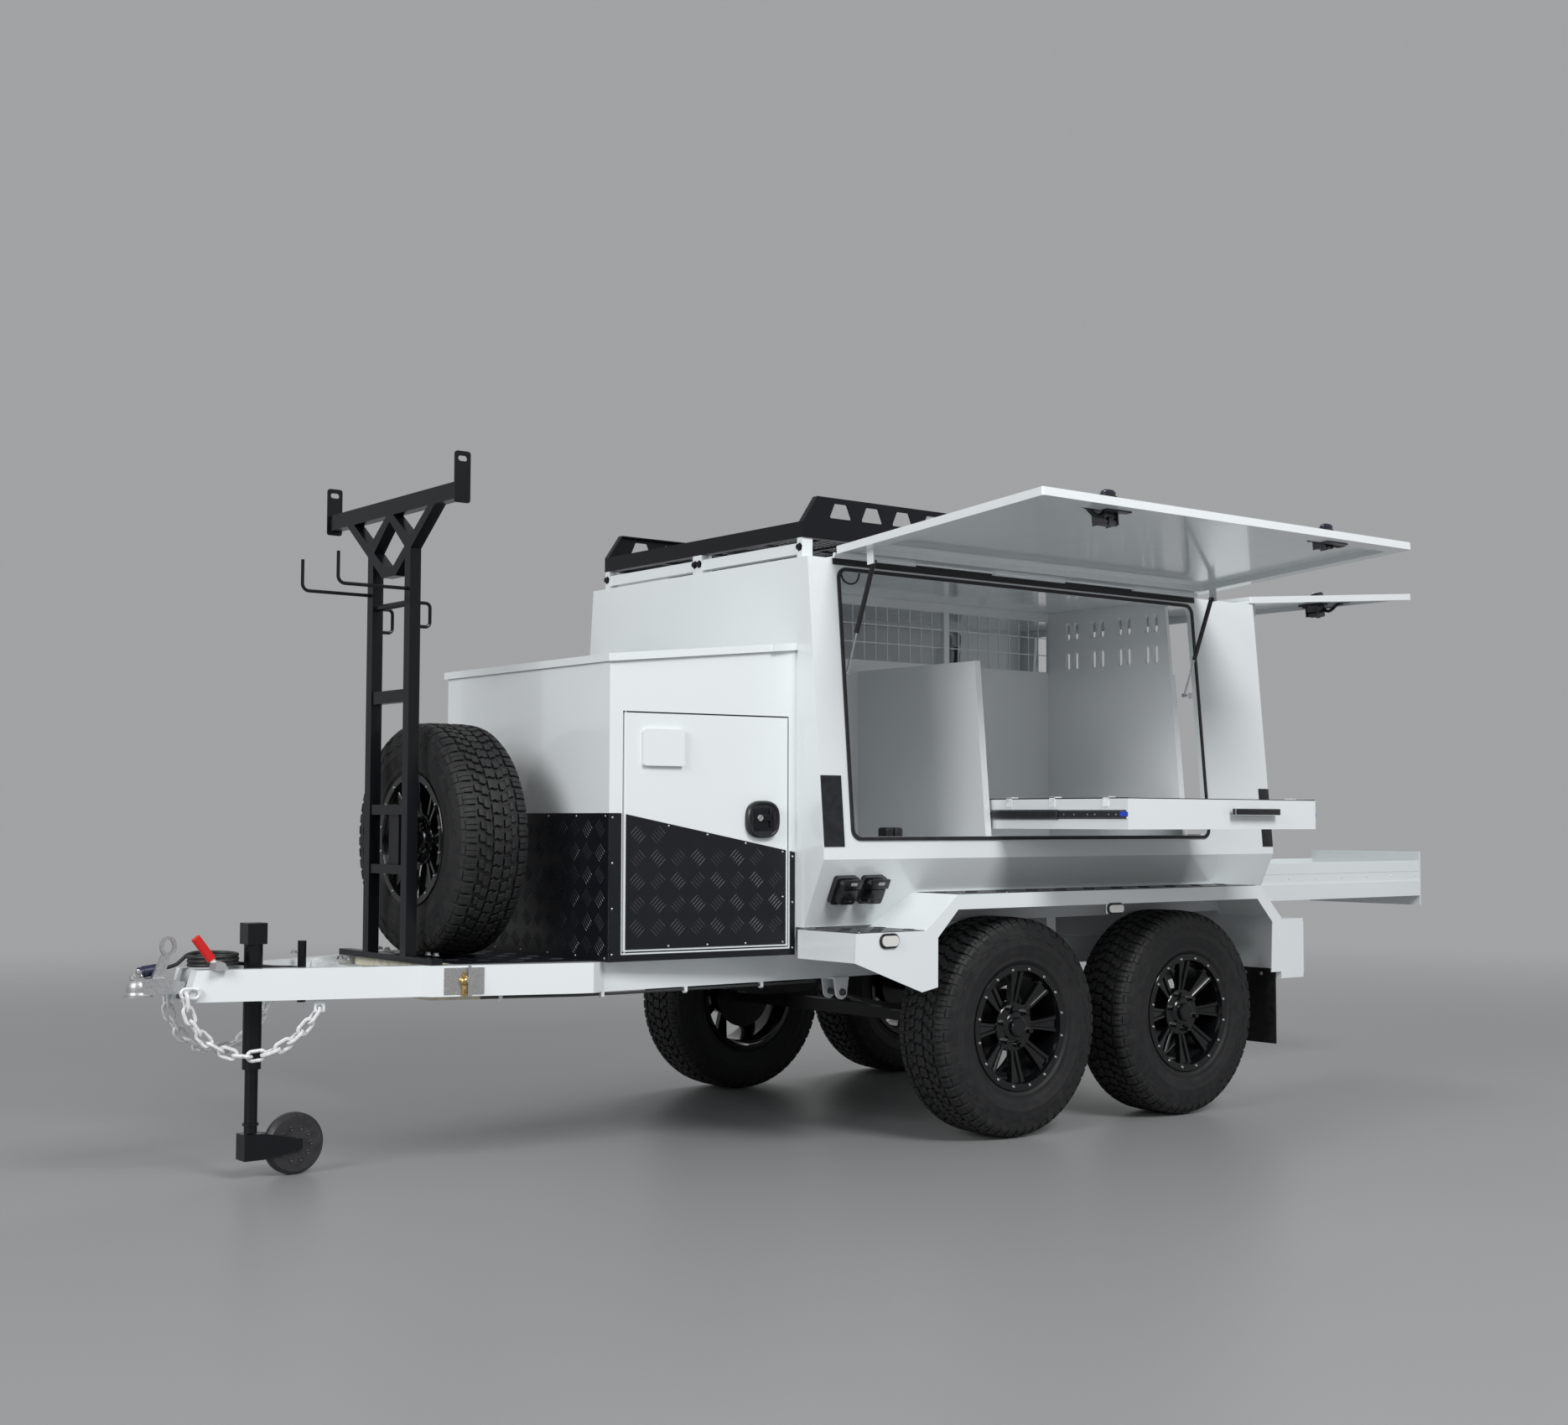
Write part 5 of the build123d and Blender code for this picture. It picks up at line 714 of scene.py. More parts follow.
def crown(across):
    """Outer radius of the tread at a distance from the tyre's middle plane."""
    away = abs(across)
    if away < 0.06:
        return tyre_r - 0.0005 * (away / 0.06) ** 2
    if away < 0.1:
        return tyre_r - 0.0005 - 0.0045 * ((away - 0.06) / 0.04) ** 2
    return tyre_r - 0.005 - 0.017 * ((away - 0.1) / 0.022) ** 1.5


def lug(form, stations, depth, edge=0.0011):
    """A moulded block through stations (left, right, outward), its upper edges eased."""
    rings = []
    for number, (left, right, outward) in enumerate(stations):
        left, right, outward = Vector(left), Vector(right), Vector(outward).normalized()
        ease = (right - left).normalized() * edge
        at_end = number in (0, len(stations) - 1)
        drop = outward * edge * (2.0 if at_end else 1.0)
        top = outward * edge if at_end else Vector()
        foot = outward * depth
        rings.append([left - foot, left - drop, left + ease - top, right - ease - top, right - drop, right - foot])
    loft(form, rings)


def on_tyre(radius, across, along):
    """A point at a radius, a distance from the middle plane and one along the tread."""
    angle = along / tyre_r
    return Vector((radius * sin(angle), across, radius * cos(angle)))


def tread_lug(form, corners, depth=tread_depth):
    """A block on the crown from (across, first, last) rows, in metres along the tread."""
    stations = []
    for across, first, last in corners:
        radius = crown(across)
        slope = 0.0 if abs(across) < 0.1 else 0.9 * (1 if across > 0 else -1)
        middle = (first + last) / 2 / tyre_r
        ends = [on_tyre(radius, across, along) for along in (first, last)]
        stations.append((*ends, (sin(middle), slope, cos(middle))))
    lug(form, stations, depth)


tread_step = 2 * pi * tyre_r / tread_pitches / 2
middle_row = ((-0.0175, -0.015, 0.019), (-0.004, -0.019, 0.014), (0.006, -0.013, 0.021), (0.0175, -0.018, 0.015))
sidewall_marks = (
    (0.338, 0.346, -0.006, 0.03),
    (0.327, 0.346, -0.006, 0.0),
    (0.327, 0.335, 0.037, 0.073),
    (0.327, 0.346, 0.037, 0.043),
)
pitch_form = bmesh.new()
for half in (0, 1):
    shift = half * tread_step
    wave = 0.003 if half else -0.003
    tread_lug(pitch_form, [(across, shift + first, shift + last) for across, first, last in middle_row])
    for side in (-1, 1):
        lag = shift if side < 0 else shift + 0.5 * tread_step
        inner_row = ((0.0245, -0.021, 0.004), (0.036, -0.019 + wave, 0.008), (0.047, -0.015, 0.01))
        outer_row = ((0.049, -0.007, 0.018), (0.058, -0.004, 0.0215), (0.0675 + wave, -0.002, 0.019))
        for row in (inner_row, outer_row):
            tread_lug(pitch_form, [(side * across, lag + first, lag + last) for across, first, last in row])
        shoulder_row = (0.0765 + (0.003 if half else 0.0), 0.092, 0.106, 0.121 if half else 0.116)
        for first, last in ((-0.017, -0.0012), (0.0004, 0.0165)):
            corners = [(side * across, lag + first + 0.01, lag + last + 0.01) for across in shoulder_row]
            tread_lug(pitch_form, corners, 0.014)
        stations = []
        for radius, across in ((0.3825, 0.1195), (0.372, 0.1255), (0.362 if half else 0.352, 0.1288)):
            ends = [on_tyre(radius, side * across, lag + along) for along in (-0.0055, 0.0255)]
            stations.append((*ends, (0, side, 0.25)))
        lug(pitch_form, stations, 0.006)
        for low_r, high_r, first, last in () if half else sidewall_marks:
            stations = []
            for radius in (low_r, (low_r + high_r) / 2, high_r):
                across = 0.1338 - 0.00018 * max(0.0, (radius - 0.325) * 1000)
                ends = [on_tyre(radius, side * across, lag + along) for along in (first, last)]
                stations.append((*ends, (0, side, 0.05)))
            lug(pitch_form, stations, 0.003, 0.0006)
tread_pitch = bpy.data.objects.new("tread_pitch", mesh_from("tread_pitch", pitch_form))


def ring_tree():
    """One pitch of a pattern turned about the Y axis into a full ring, with its carcass."""
    inputs = (("Carcass", "Geometry"), ("Pitch", "Object"), ("Count", "Int", tread_pitches), ("Finish", "Material"))
    tree, given = start_tree("pattern_ring", *inputs)
    row = add_node(tree, "GeometryNodeMeshLine", {"Count": given["Count"], "Offset": (0, 0, 0)}).outputs["Mesh"]
    number = add_node(tree, "GeometryNodeInputIndex").outputs["Index"]
    share = add_node(tree, "ShaderNodeMath", {0: number, 1: given["Count"]}, operation="DIVIDE")
    angle = add_node(tree, "ShaderNodeMath", {0: share.outputs["Value"], 1: 2 * pi}, operation="MULTIPLY")
    turn = add_node(tree, "FunctionNodeAxisAngleToRotation", {"Axis": (0, 1, 0), "Angle": angle.outputs["Value"]})
    item = add_node(tree, "GeometryNodeObjectInfo", {"Object": given["Pitch"]}).outputs["Geometry"]
    both = add_node(tree, "GeometryNodeJoinGeometry", {"Geometry": given["Carcass"]})
    tree.links.new(copies_on(tree, row, item, turn.outputs["Rotation"]), both.inputs["Geometry"])
    return end_tree(tree, both.outputs["Geometry"], given["Finish"])


def ring_form(profile, steps=96):
    """A form whose (radius, across) outline runs once round the Y axis."""
    form = bmesh.new()
    loft(form, [[(r * sin(a), y, r * cos(a)) for r, y in profile] for a in angles(steps)], wrapped=True)
    return form


side_profile = [
    (0.2222, 0.108), (0.229, 0.1135), (0.238, 0.116), (0.242, 0.1215), (0.247, 0.1225), (0.252, 0.1205),
    (0.264, 0.1255), (0.28, 0.1295), (0.296, 0.1312), (0.2985, 0.1322), (0.3015, 0.1322), (0.304, 0.1316),
    (0.32, 0.1314), (0.34, 0.13), (0.36, 0.1262), (0.372, 0.1215), (0.38, 0.115), (0.3855, 0.106),
    (0.388, 0.09), (0.389, 0.05),
]
carcass_profile = [(r, -y) for r, y in side_profile] + [(r, y) for r, y in reversed(side_profile)]
carcass_mesh = mesh_from("tyre_carcass", ring_form(carcass_profile), 180)

tyre_rubber, rubber_shader, rubber_place = finish("tyre_rubber", (0.01, 0.0105, 0.012), 0.62)
rubber_shader.inputs["Specular IOR Level"].default_value = 0.38
dust = grain(tyre_rubber, rubber_place, 26.0, 5.0, 0.6)
dusty = spread(tyre_rubber, dust, 0.0, 1.0, 0.35, 0.75)
feed(rubber_shader, "Base Color", two_tone(tyre_rubber, dusty, (0.009, 0.0095, 0.0105), (0.02, 0.02, 0.021)))
feed(rubber_shader, "Roughness", spread(tyre_rubber, dust, 0.52, 0.7))
relief(tyre_rubber, rubber_shader, grain(tyre_rubber, rubber_place, 700.0, 2.0), 0.0002, 0.4)

pattern_ring = ring_tree()
rim_black = powder_coat("rim_black", (0.0035, 0.0038, 0.0045), 0.12, 0.00003, 0.15, 0.45)
rim_profile = [
    (0.23, -0.12), (0.23, -0.114), (0.2215, -0.1115), (0.221, -0.088), (0.2, -0.06), (0.2, 0.035),
    (0.221, 0.064), (0.2215, 0.1115), (0.23, 0.114), (0.23, 0.1185), (0.2285, 0.12), (0.2075, 0.12),
    (0.205, 0.1185), (0.202, 0.108), (0.1985, 0.1), (0.1965, 0.08), (0.1945, 0.03), (0.1945, -0.058),
    (0.212, -0.09), (0.213, -0.12),
]
hub_profile = [
    (0.08, 0.03), (0.09, 0.04), (0.09, 0.0815), (0.0865, 0.0845), (0.06, 0.0845), (0.054, 0.0925),
    (0.05, 0.095), (0.036, 0.096),
]
rim_form = ring_form(rim_profile)
turned(rim_form, hub_profile, (0, 0, 0), (0, 1, 0), 64)
rim_mesh = mesh_from("rim_barrel", rim_form, 28)

spoke_legs = (
    (0.082, 0.009, 0.013, 0.0845),
    (0.11, 0.0115, 0.013, 0.0885),
    (0.15, 0.0165, 0.014, 0.0955),
    (0.185, 0.0215, 0.0155, 0.102),
    (0.204, 0.025, 0.02, 0.107),
)
spoke_out = (0, 1, -0.16)
spoke_form = bmesh.new()
for side in (-1, 1):
    stations = []
    for radius, apart, wide, face_y in spoke_legs:
        middle = side * apart
        stations.append(((middle - wide / 2, face_y, radius), (middle + wide / 2, face_y, radius), spoke_out))
    lug(spoke_form, stations, 0.026, 0.0024)
web_rows = ((0.082, 0.006, 0.076), (0.15, 0.014, 0.087), (0.203, 0.02, 0.098))
lug(spoke_form, [((-half, y, r), (half, y, r), spoke_out) for r, half, y in web_rows], 0.014, 0.001)
rim_spoke = bpy.data.objects.new("rim_spoke", mesh_from("rim_spoke", spoke_form))

bright_bolt = fixing_form("rim_bolt", [(0.0056, 0.0), (0.0056, 0.0022), (0.0044, 0.0036), (0.0022, 0.0028)], 10)
nut_profile = [(0.0125, 0.0), (0.0125, 0.004), (0.0105, 0.005), (0.0105, 0.02), (0.008, 0.0235), (0.003, 0.024)]
wheel_nut = fixing_form("wheel_nut", nut_profile, 6, 20)
hub_cap_profile = [(0.036, 0.0), (0.036, 0.012), (0.033, 0.0165), (0.027, 0.018), (0.0265, 0.0165), (0.006, 0.0165)]
valve_profile = [(0.0055, 0.0), (0.0055, 0.01), (0.004, 0.014), (0.004, 0.03), (0.0052, 0.03), (0.0052, 0.04)]
valve_profile += [(0.003, 0.042)]
# each wheel stands at x and y, faces a side (0 is forward) and turns with a body
road_wheels = {
    "front_left": (axle_xs[0], -0.82, -1, "front_left_wheel"),
    "rear_left": (axle_xs[1], -0.82, -1, "rear_left_wheel"),
    "front_right": (axle_xs[0], 0.82, 1, "front_right_wheel"),
    "rear_right": (axle_xs[1], 0.82, 1, "rear_right_wheel"),
    "spare": (1.045, 0.0, 0, "trailer"),
}
spare_z, wheel_z = 0.469, -0.215
lip_y, nut_y, cap_y, valve_y = 0.1198, 0.0835, 0.0958, 0.064
lip_ring, nut_ring, valve_ring, valve_angle = 0.214, 0.0695, 0.193, 2.2


def on_face(place, away, radius, angle):
    """A point on the face of a wheel placed by a matrix, and the way that it faces."""
    spot = Vector((radius * cos(angle), away, radius * sin(angle)))
    return place @ spot, place.to_3x3() @ Vector((0, 1, 0))


for name, (wheel_x, wheel_y, side, body) in road_wheels.items():
    place = Matrix.Translation((wheel_x, wheel_y, spare_z if side == 0 else wheel_z))
    place @= Matrix.Rotation({0: pi / 2, 1: 0.0, -1: pi}[side], 4, "Z")
    values = {"Pitch": tread_pitch, "Count": tread_pitches, "Finish": tyre_rubber}
    tyre = run_tree(f"{name}_tread_tyre", pattern_ring, carcass_mesh.copy(), values, body)
    tyre.data.transform(place)
    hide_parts(f"{name}_tyre")
    values = {"Pitch": rim_spoke, "Count": 8, "Finish": rim_black}
    rim = run_tree(f"{name}_spoked_rim", pattern_ring, rim_mesh.copy(), values, body)
    rim.data.transform(place)
    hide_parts(f"{name}_rim")
    lip_bolts = [on_face(place, lip_y, lip_ring, angle) for angle in angles(16, 0.5)]
    nuts = [on_face(place, nut_y, nut_ring, angle) for angle in angles(6, 0.25)]
    set_fixings(f"{name}_rim_bolts", bright_bolt, lip_bolts, zinc, body)
    set_fixings(f"{name}_wheel_nuts", wheel_nut, nuts, rim_black, body)
    cap, valve = bmesh.new(), bmesh.new()
    turned(cap, hub_cap_profile, *on_face(place, cap_y, 0.0, 0.0), 28)
    solid_piece(f"{name}_hub_cap", cap, rim_black, body, 30)
    turned(valve, valve_profile, *on_face(place, valve_y, valve_ring, valve_angle), 10)
    solid_piece(f"{name}_valve", valve, tyre_rubber, body, 30)
dress(black_coat, "axles")
dress(powder_coat("spring_black", (0.028, 0.029, 0.031), 0.42, 0.0003, 0.1), "leaf_springs")

# ----------------------------------------------
# Front box: a folded white steel box with flared sides.  Black five-bar sheet is riveted
# over its lower front and sides, and each side door has its own sheet, a vent and a lock.
# ----------------------------------------------


def axes(origin, x, y, z):
    """A placing matrix from an origin and three directions."""
    place = Matrix.Identity(4)
    for column, way in enumerate((x, y, z, origin)):
        place.col[column][:3] = tuple(way)
    return place


def block(form, low, high, ease=0.001, segments=2):
    """A box between two opposite corners, its edges rounded."""
    low, high = Vector(map(min, low, high)), Vector(map(max, low, high))
    place = Matrix.Translation((low + high) / 2) @ Matrix.Diagonal((*(high - low), 1.0))
    made = bmesh.ops.create_cube(form, size=1.0, matrix=place)["verts"]
    edges = list({edge for vert in made for edge in vert.link_edges})
    bmesh.ops.bevel(form, geom=edges, offset=ease, segments=segments, affect="EDGES", profile=0.5)


def blocks(*boxes):
    """A form of boxes, each with its corners and, where they differ, its ease and segments."""
    form = bmesh.new()
    for box in boxes:
        block(form, *box)
    return form


def row_between(start, end, spacing):
    """Points from start to end, both kept, about a spacing apart."""
    start, end = Vector(start), Vector(end)
    count = max(1, round((end - start).length / spacing))
    return [start.lerp(end, i / count) for i in range(count + 1)]


def placed(points, place):
    """Points on a local plane, each with the plane's outward direction."""
    facing = place.to_3x3() @ Vector((0, 0, 1))
    return [(place @ Vector(point), facing) for point in points]


flare = radians(5.74)
sheet_thick = 0.003
box_side = {}
for side in (-1, 1):
    along, out = (cos(flare), side * sin(flare), 0), (-sin(flare), side * cos(flare), 0)
    box_side[side] = axes((1.369, side * 0.558, 0), along, (0, 0, 1), out)
box_front = axes((1.3657, 0, 0), (0, -1, 0), (0, 0, 1), (-1, 0, 0))
slope_start, slope_end = (0.045, 0.56), (0.715, 0.429)
slope_rate = (slope_end[1] - slope_start[1]) / (slope_end[0] - slope_start[0])

dress(white_coat, "front_box", "box_lid", "left_box_door", "right_box_door")
dress(tread_black, "checker_cladding")

front_outline = [(-0.556, 0.067), (0.556, 0.067), (0.556, 0.558), (-0.556, 0.558)]
tread_on("front_cladding_tread", [(box_front.translation, (0, -1, 0), (0, 0, 1), front_outline)], "trailer")
strip_rivets = placed(row_between((-0.54, 0.55, 0), (0.54, 0.55, 0), 0.18), box_front)
strip_rivets += placed(row_between((-0.54, 0.078, 0), (0.54, 0.078, 0), 0.18), box_front)
for side in (-1, 1):
    face = box_side[side] @ Matrix.Translation((0, 0, sheet_thick))
    strip_rivets += placed(row_between((0.012, 0.09, 0), (0.012, 0.545, 0), 0.15), face)
    strip_rivets += placed(row_between((0.725, 0.09, 0), (0.725, 0.41, 0), 0.16), face)
set_fixings("cladding_rivets", rivet_head, strip_rivets, zinc, "trailer")

lock_black = moulding("lock_moulding", (0.0075, 0.008, 0.0095), 0.3)
sheet_low, sheet_start, sheet_end = 0.1045, 0.063, 0.697
door_outline = [(sheet_start, sheet_low), (sheet_end, sheet_low)]
door_outline += [(x, slope_start[1] + (x - slope_start[0]) * slope_rate) for x in (sheet_end, sheet_start)]
corners = [Vector((x, z, 0)) for x, z in door_outline]
inner = sum(corners, Vector()) / 4
corners = [corner + (inner - corner).normalized() * 0.014 for corner in corners]
edge_rivets = []
for start, end in zip(corners, corners[1:] + corners[:1]):
    edge_rivets += [spot for spot in row_between(start, end, 0.16)[:-1] if spot.x > 0.12]


def squarish(angle, half_x, half_y):
    """A point on an outline between an ellipse and a rounded square."""
    x, y = cos(angle), sin(angle)
    return Vector((half_x * copysign(abs(x) ** 0.75, x), half_y * copysign(abs(y) ** 0.75, y), 0))


lock_middle = Vector((0.597, 0.54, 0))
bezel = [squarish(angle, 0.067, 0.0655) for angle in angles(40)]
bezel_rings = ((1.0, 0.0001), (1.0, 0.013), (0.975, 0.0185), (0.92, 0.022), (0.86, 0.0222), (0.81, 0.02))
bezel_rings += ((0.79, 0.0172),)
barrel_profile = [(0.0115, 0.0), (0.0115, 0.0065), (0.01, 0.008), (0.0075, 0.008), (0.007, 0.0062)]
for side, body in ((-1, "left_box_door"), (1, "right_box_door")):
    skin = box_side[side]
    face = skin @ Matrix.Translation((0, 0, sheet_thick))
    sheet = bmesh.new()
    prism(sheet, [(x, z, 0) for x, z in door_outline], (0, 0, -0.0002), (0, 0, sheet_thick + 0.0002), 0.0004)
    along = face.to_3x3() @ Vector((-side, 0, 0))
    outline = [(-side * x, z) for x, z in door_outline]
    lock = bmesh.new()
    loft(lock, [[lock_middle + spot * scale + up * height for spot in bezel] for scale, height in bezel_rings])
    paddle = blocks(
        ((0.556, 0.5, 0.0165), (0.638, 0.58, 0.0192), 0.0013),
        ((0.59, 0.534, 0.0185), (0.636, 0.556, 0.0262), 0.003, 3),
        ((0.618, 0.512, 0.0185), (0.637, 0.576, 0.0262), 0.003, 3),
    )
    barrel = bmesh.new()
    turned(barrel, barrel_profile, (0.579, 0.545, 0.0185), (0, 0, 1), 20)
    block(barrel, (0.575, 0.544, 0.0245), (0.583, 0.546, 0.0255), 0.0003, 1)
    for form in (sheet, lock, paddle, barrel):
        form.transform(skin)
    solid_piece(f"{body}_sheet", sheet, tread_black, body)
    tread_on(f"{body}_tread", [(face.translation, along, (0, 0, 1), outline)], body)
    set_fixings(f"{body}_rivets", rivet_head, placed(edge_rivets, face), zinc, body)
    solid_piece(f"{body}_lock_case", lock, lock_black, body, 35)
    solid_piece(f"{body}_lock_paddle", paddle, black_coat, body, 40)
    solid_piece(f"{body}_lock_barrel", barrel, zinc, body, 30)

# ----------------------------------------------
# Canopy: a welded white shell on the chassis, black bulb seals round its openings, a pale
# partition and slotted divider inside, welded mesh, and two power outlets on the undercut.
# ----------------------------------------------

inner_coat = powder_coat("inner_coat", (0.79, 0.81, 0.82), 0.3, 0.00008, 0.2)
seal_rubber = moulding("seal_rubber", (0.006, 0.006, 0.007), 0.44)
blank_grey = moulding("blank_grey", (0.3, 0.31, 0.32), 0.34)
dress(white_coat, "canopy_body", "mesh_panels")
dress(inner_coat, "partition")
dress(seal_rubber, "door_seals")
dress(lock_black, "side_fittings")


def join(form, piece, place):
    """Adds a piece to a form, moved to its place."""
    piece.transform(place)
    mesh = bpy.data.meshes.new("joined")
    piece.to_mesh(mesh)
    piece.free()
    form.from_mesh(mesh)
    bpy.data.meshes.remove(mesh)


undercut = radians(25.7)
outlet_up, outlet_out = (0, -sin(undercut), cos(undercut)), (0, -cos(undercut), -sin(undercut))
outlet_caps, outlet_tabs = bmesh.new(), bmesh.new()
for outlet_x in (2.226, 2.353):
    place = axes((outlet_x, -0.7916, 0.293), (1, 0, 0), outlet_up, outlet_out)
    caps = blocks(
        ((-0.04, 0.004, -0.004), (0.04, 0.041, 0.007), 0.0035),
        ((-0.033, -0.036, -0.004), (0.033, 0.001, 0.004), 0.003),
        ((-0.016, -0.052, -0.022), (0.016, -0.04, 0.002), 0.002),
    )
    join(outlet_caps, caps, place)
    join(outlet_tabs, blocks(((-0.014, 0.02, 0.006), (0.014, 0.031, 0.0085), 0.0008)), place)
solid_piece("outlet_caps", outlet_caps, lock_black, "trailer", 40)
solid_piece("outlet_tabs", outlet_tabs, blank_grey, "trailer", 40)

buffers = blocks(*[((x - 0.02, -0.68, 0.4549), (x + 0.02, -0.63, 0.512), 0.009, 3) for x in (2.508, 2.552)])
solid_piece("rubber_buffers", buffers, seal_rubber, "trailer", 40)

wall_lean = 0.0865
hinge_rows = ((-0.02, 0.011, 0.003), (-0.019, -0.014, 0.0046), (-0.009, -0.004, 0.0046), (0.001, 0.006, 0.0046))
hinge_strips, corner_strips = bmesh.new(), bmesh.new()
for side in (-1, 1):
    out = Vector((0, side, wall_lean)).normalized()
    rise = Vector((0, -side * wall_lean, 1)).normalized()
    corner = blocks(((-0.0335, -0.123, -0.0005), (0.033, 0.123, 0.003), 0.0012))
    join(corner_strips, corner, axes((4.5445, side * 0.7765, 0.553), rise.cross(out), rise, out))
    strip = blocks(*[((-0.985, low, -0.0004), (0.985, high, thick), 0.0008, 1) for low, high, thick in hinge_rows])
    join(hinge_strips, strip, axes((3.203, side * 0.6962, 1.47), rise.cross(out), rise, out))
solid_piece("hinge_strips", hinge_strips, seal_rubber, "trailer", 40)
solid_piece("corner_strips", corner_strips, lock_black, "trailer", 40)

bay_places = ((2.315, -0.7), (2.5, -0.7), (2.6, -0.7), (2.34, -0.56), (2.56, -0.56))
bay_bolts = [((x, y, 0.4551), (0, 0, 1)) for x, y in bay_places]
set_fixings("bay_floor_bolts", rivet_head, bay_bolts, zinc, "trailer", 1.6)

loop_route = [(2.262, -0.688, 1.453), (2.262, -0.688, 1.425), (2.278, -0.69, 1.392), (2.315, -0.692, 1.384)]
loop_route += [(2.35, -0.69, 1.405), (2.358, -0.686, 1.453)]
wire_loop = line_piece("lamp_wire_loop", [loop_route], 0.0035, seal_rubber)
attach(wire_loop, "trailer")

# ----------------------------------------------
# Doors: white lift-up doors on barrel hinges, folded at their edges, with black T-handle
# locks, zinc latch gear on the inside, release wires and a gas strut at each end.
# ----------------------------------------------

strut_black = powder_coat("strut_black", (0.006, 0.006, 0.007), 0.22, 0.00004, 0.2)
rod_steel, rod_shader, rod_place = finish("strut_rod_steel", (0.62, 0.63, 0.64), 0.16, 1.0)
feed(rod_shader, "Roughness", spread(rod_steel, grain(rod_steel, rod_place, 60.0, 4.0), 0.12, 0.26))
for side_name in ("left", "right", "rear"):
    dress(white_coat, f"{side_name}_door")
    dress(lock_black, f"{side_name}_door_locks")
    dress(strut_black, f"{side_name}_strut_tubes")
    dress(rod_steel, f"{side_name}_strut_rods")

latch_steel = plated("latch_steel", (0.17, 0.17, 0.18), 0.34, 300.0)
handle_blue = moulding("handle_blue_black", (0.008, 0.009, 0.017), 0.26)
door_lean, door_open = radians(5.016), radians(94.5)
open_up, open_flat = -cos(door_open), sin(door_open)
lean_out, lean_down = sin(door_lean), cos(door_lean)
door_axes = {
    "left": axes((3.203, -0.71, 1.484), (-1, 0, 0), (0, -open_flat, open_up), (0, open_up, open_flat)),
    "right": axes((3.203, 0.71, 1.484), (1, 0, 0), (0, lean_out, -lean_down), (0, lean_down, lean_out)),
    "rear": axes((4.592, 0, 1.484), (0, -1, 0), (open_flat, 0, open_up), (-open_up, 0, open_flat)),
}
lock_stations = {"left": (0.59, 0.9438), "right": (0.59, 0.9438), "rear": (0.3, 0.978)}
gear_back, door_skin = 0.0135, 0.0201
blade_rings = (
    (0.0, 0.01, 0.009),
    (0.006, 0.014, 0.0095),
    (0.012, 0.03, 0.012),
    (0.02, 0.036, 0.013),
    (0.028, 0.034, 0.012),
    (0.034, 0.024, 0.008),
)

for side_name, plane in door_axes.items():
    body = f"{side_name}_door"
    station, drop = lock_stations[side_name]
    blades, gear, bases, wires = bmesh.new(), bmesh.new(), bmesh.new(), []
    for way in (-1, 1):
        lock = plane @ Matrix.Translation((way * station, drop, 0))
        # the left door's rear lock is the smaller one
        deep = 1.0 if (side_name, way) == ("left", -1) else 1.9
        blade = bmesh.new()
        rings = []
        for high, half_x, half_y in blade_rings:
            rings.append([(half_x * cos(a), half_y * sin(a) + high * 0.25, 0.04 + high) for a in angles(20)])
        loft(blade, rings)
        works = blocks(
            ((-0.023, -0.034, -0.0045), (0.023, 0.006, 0.0135), 0.002),
            ((-0.024, -0.038, -0.016), (-0.0215, 0.012, 0.0135), 0.0006, 1),
            ((0.0215, -0.038, -0.016), (0.024, 0.012, 0.0135), 0.0006, 1),
            ((-0.008, 0.002, -0.0195), (0.008, 0.012, -0.002), 0.002),
        )
        turned(works, [(0.007, 0.0), (0.007, 0.049)], (-0.0245, 0.001, -0.0105), (1, 0, 0), 16)
        turned(works, [(0.0045, 0.0), (0.0045, 0.049)], (-0.0245, -0.026, -0.0105), (1, 0, 0), 12)
        grown = Matrix.Diagonal((1.45 if deep > 1 else 1, 1.15, deep, 1))
        works.transform(Matrix.Translation((0, 0, gear_back)) @ grown @ Matrix.Translation((0, 0, -gear_back)))
        plate = blocks(
            ((-0.052, -0.046, 0.0132), (0.052, 0.014, door_skin), 0.0015),
            ((way * 0.15 - 0.022, -0.01, 0.0095), (way * 0.15 + 0.022, 0.022, door_skin), 0.003),
            ((way * -0.088 - 0.016, -0.004, 0.012), (way * -0.088 + 0.016, 0.016, door_skin), 0.002),
        )
        for form, piece in ((blades, blade), (gear, works), (bases, plate)):
            join(form, piece, lock)
        pull_z, bend_z = 0.02 - 0.024 * deep, 0.02 - 0.018 * deep
        for route in (
            ((0.02, 0.002), (0.05, pull_z), (0.085, bend_z), (0.112, 0.0105), (0.14, 0.011)),
            ((-0.02, 0.006), (-0.046, 0.004), (-0.064, 0.01), (-0.082, 0.011)),
        ):
            wires.append([lock @ Vector((way * x, 0.006, z)) for x, z in route])
    solid_piece(f"{body}_handle_blades", blades, handle_blue, body, 50)
    solid_piece(f"{body}_latch_gear", gear, latch_steel, body, 35)
    solid_piece(f"{body}_latch_plates", bases, lock_black, body, 40)
    wire_piece = line_piece(f"{body}_release_wires", wires, 0.0078, seal_rubber, steps=5)
    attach(wire_piece, body)

# ----------------------------------------------
# Drawers: folded white drawers on zinc telescopic slides, their ball channels flat bands of
# painted shade, a black pull and three white clips on the side drawer, and riveted sides on the rear drawer.
# ----------------------------------------------

dress(white_coat, "side_drawer", "rear_drawer")
slide_zinc = plated("slide_zinc", (0.2, 0.215, 0.22), 0.34, 300.0)
dress(slide_zinc, "side_drawer_slides")
dress(zinc, "drawer_runners")
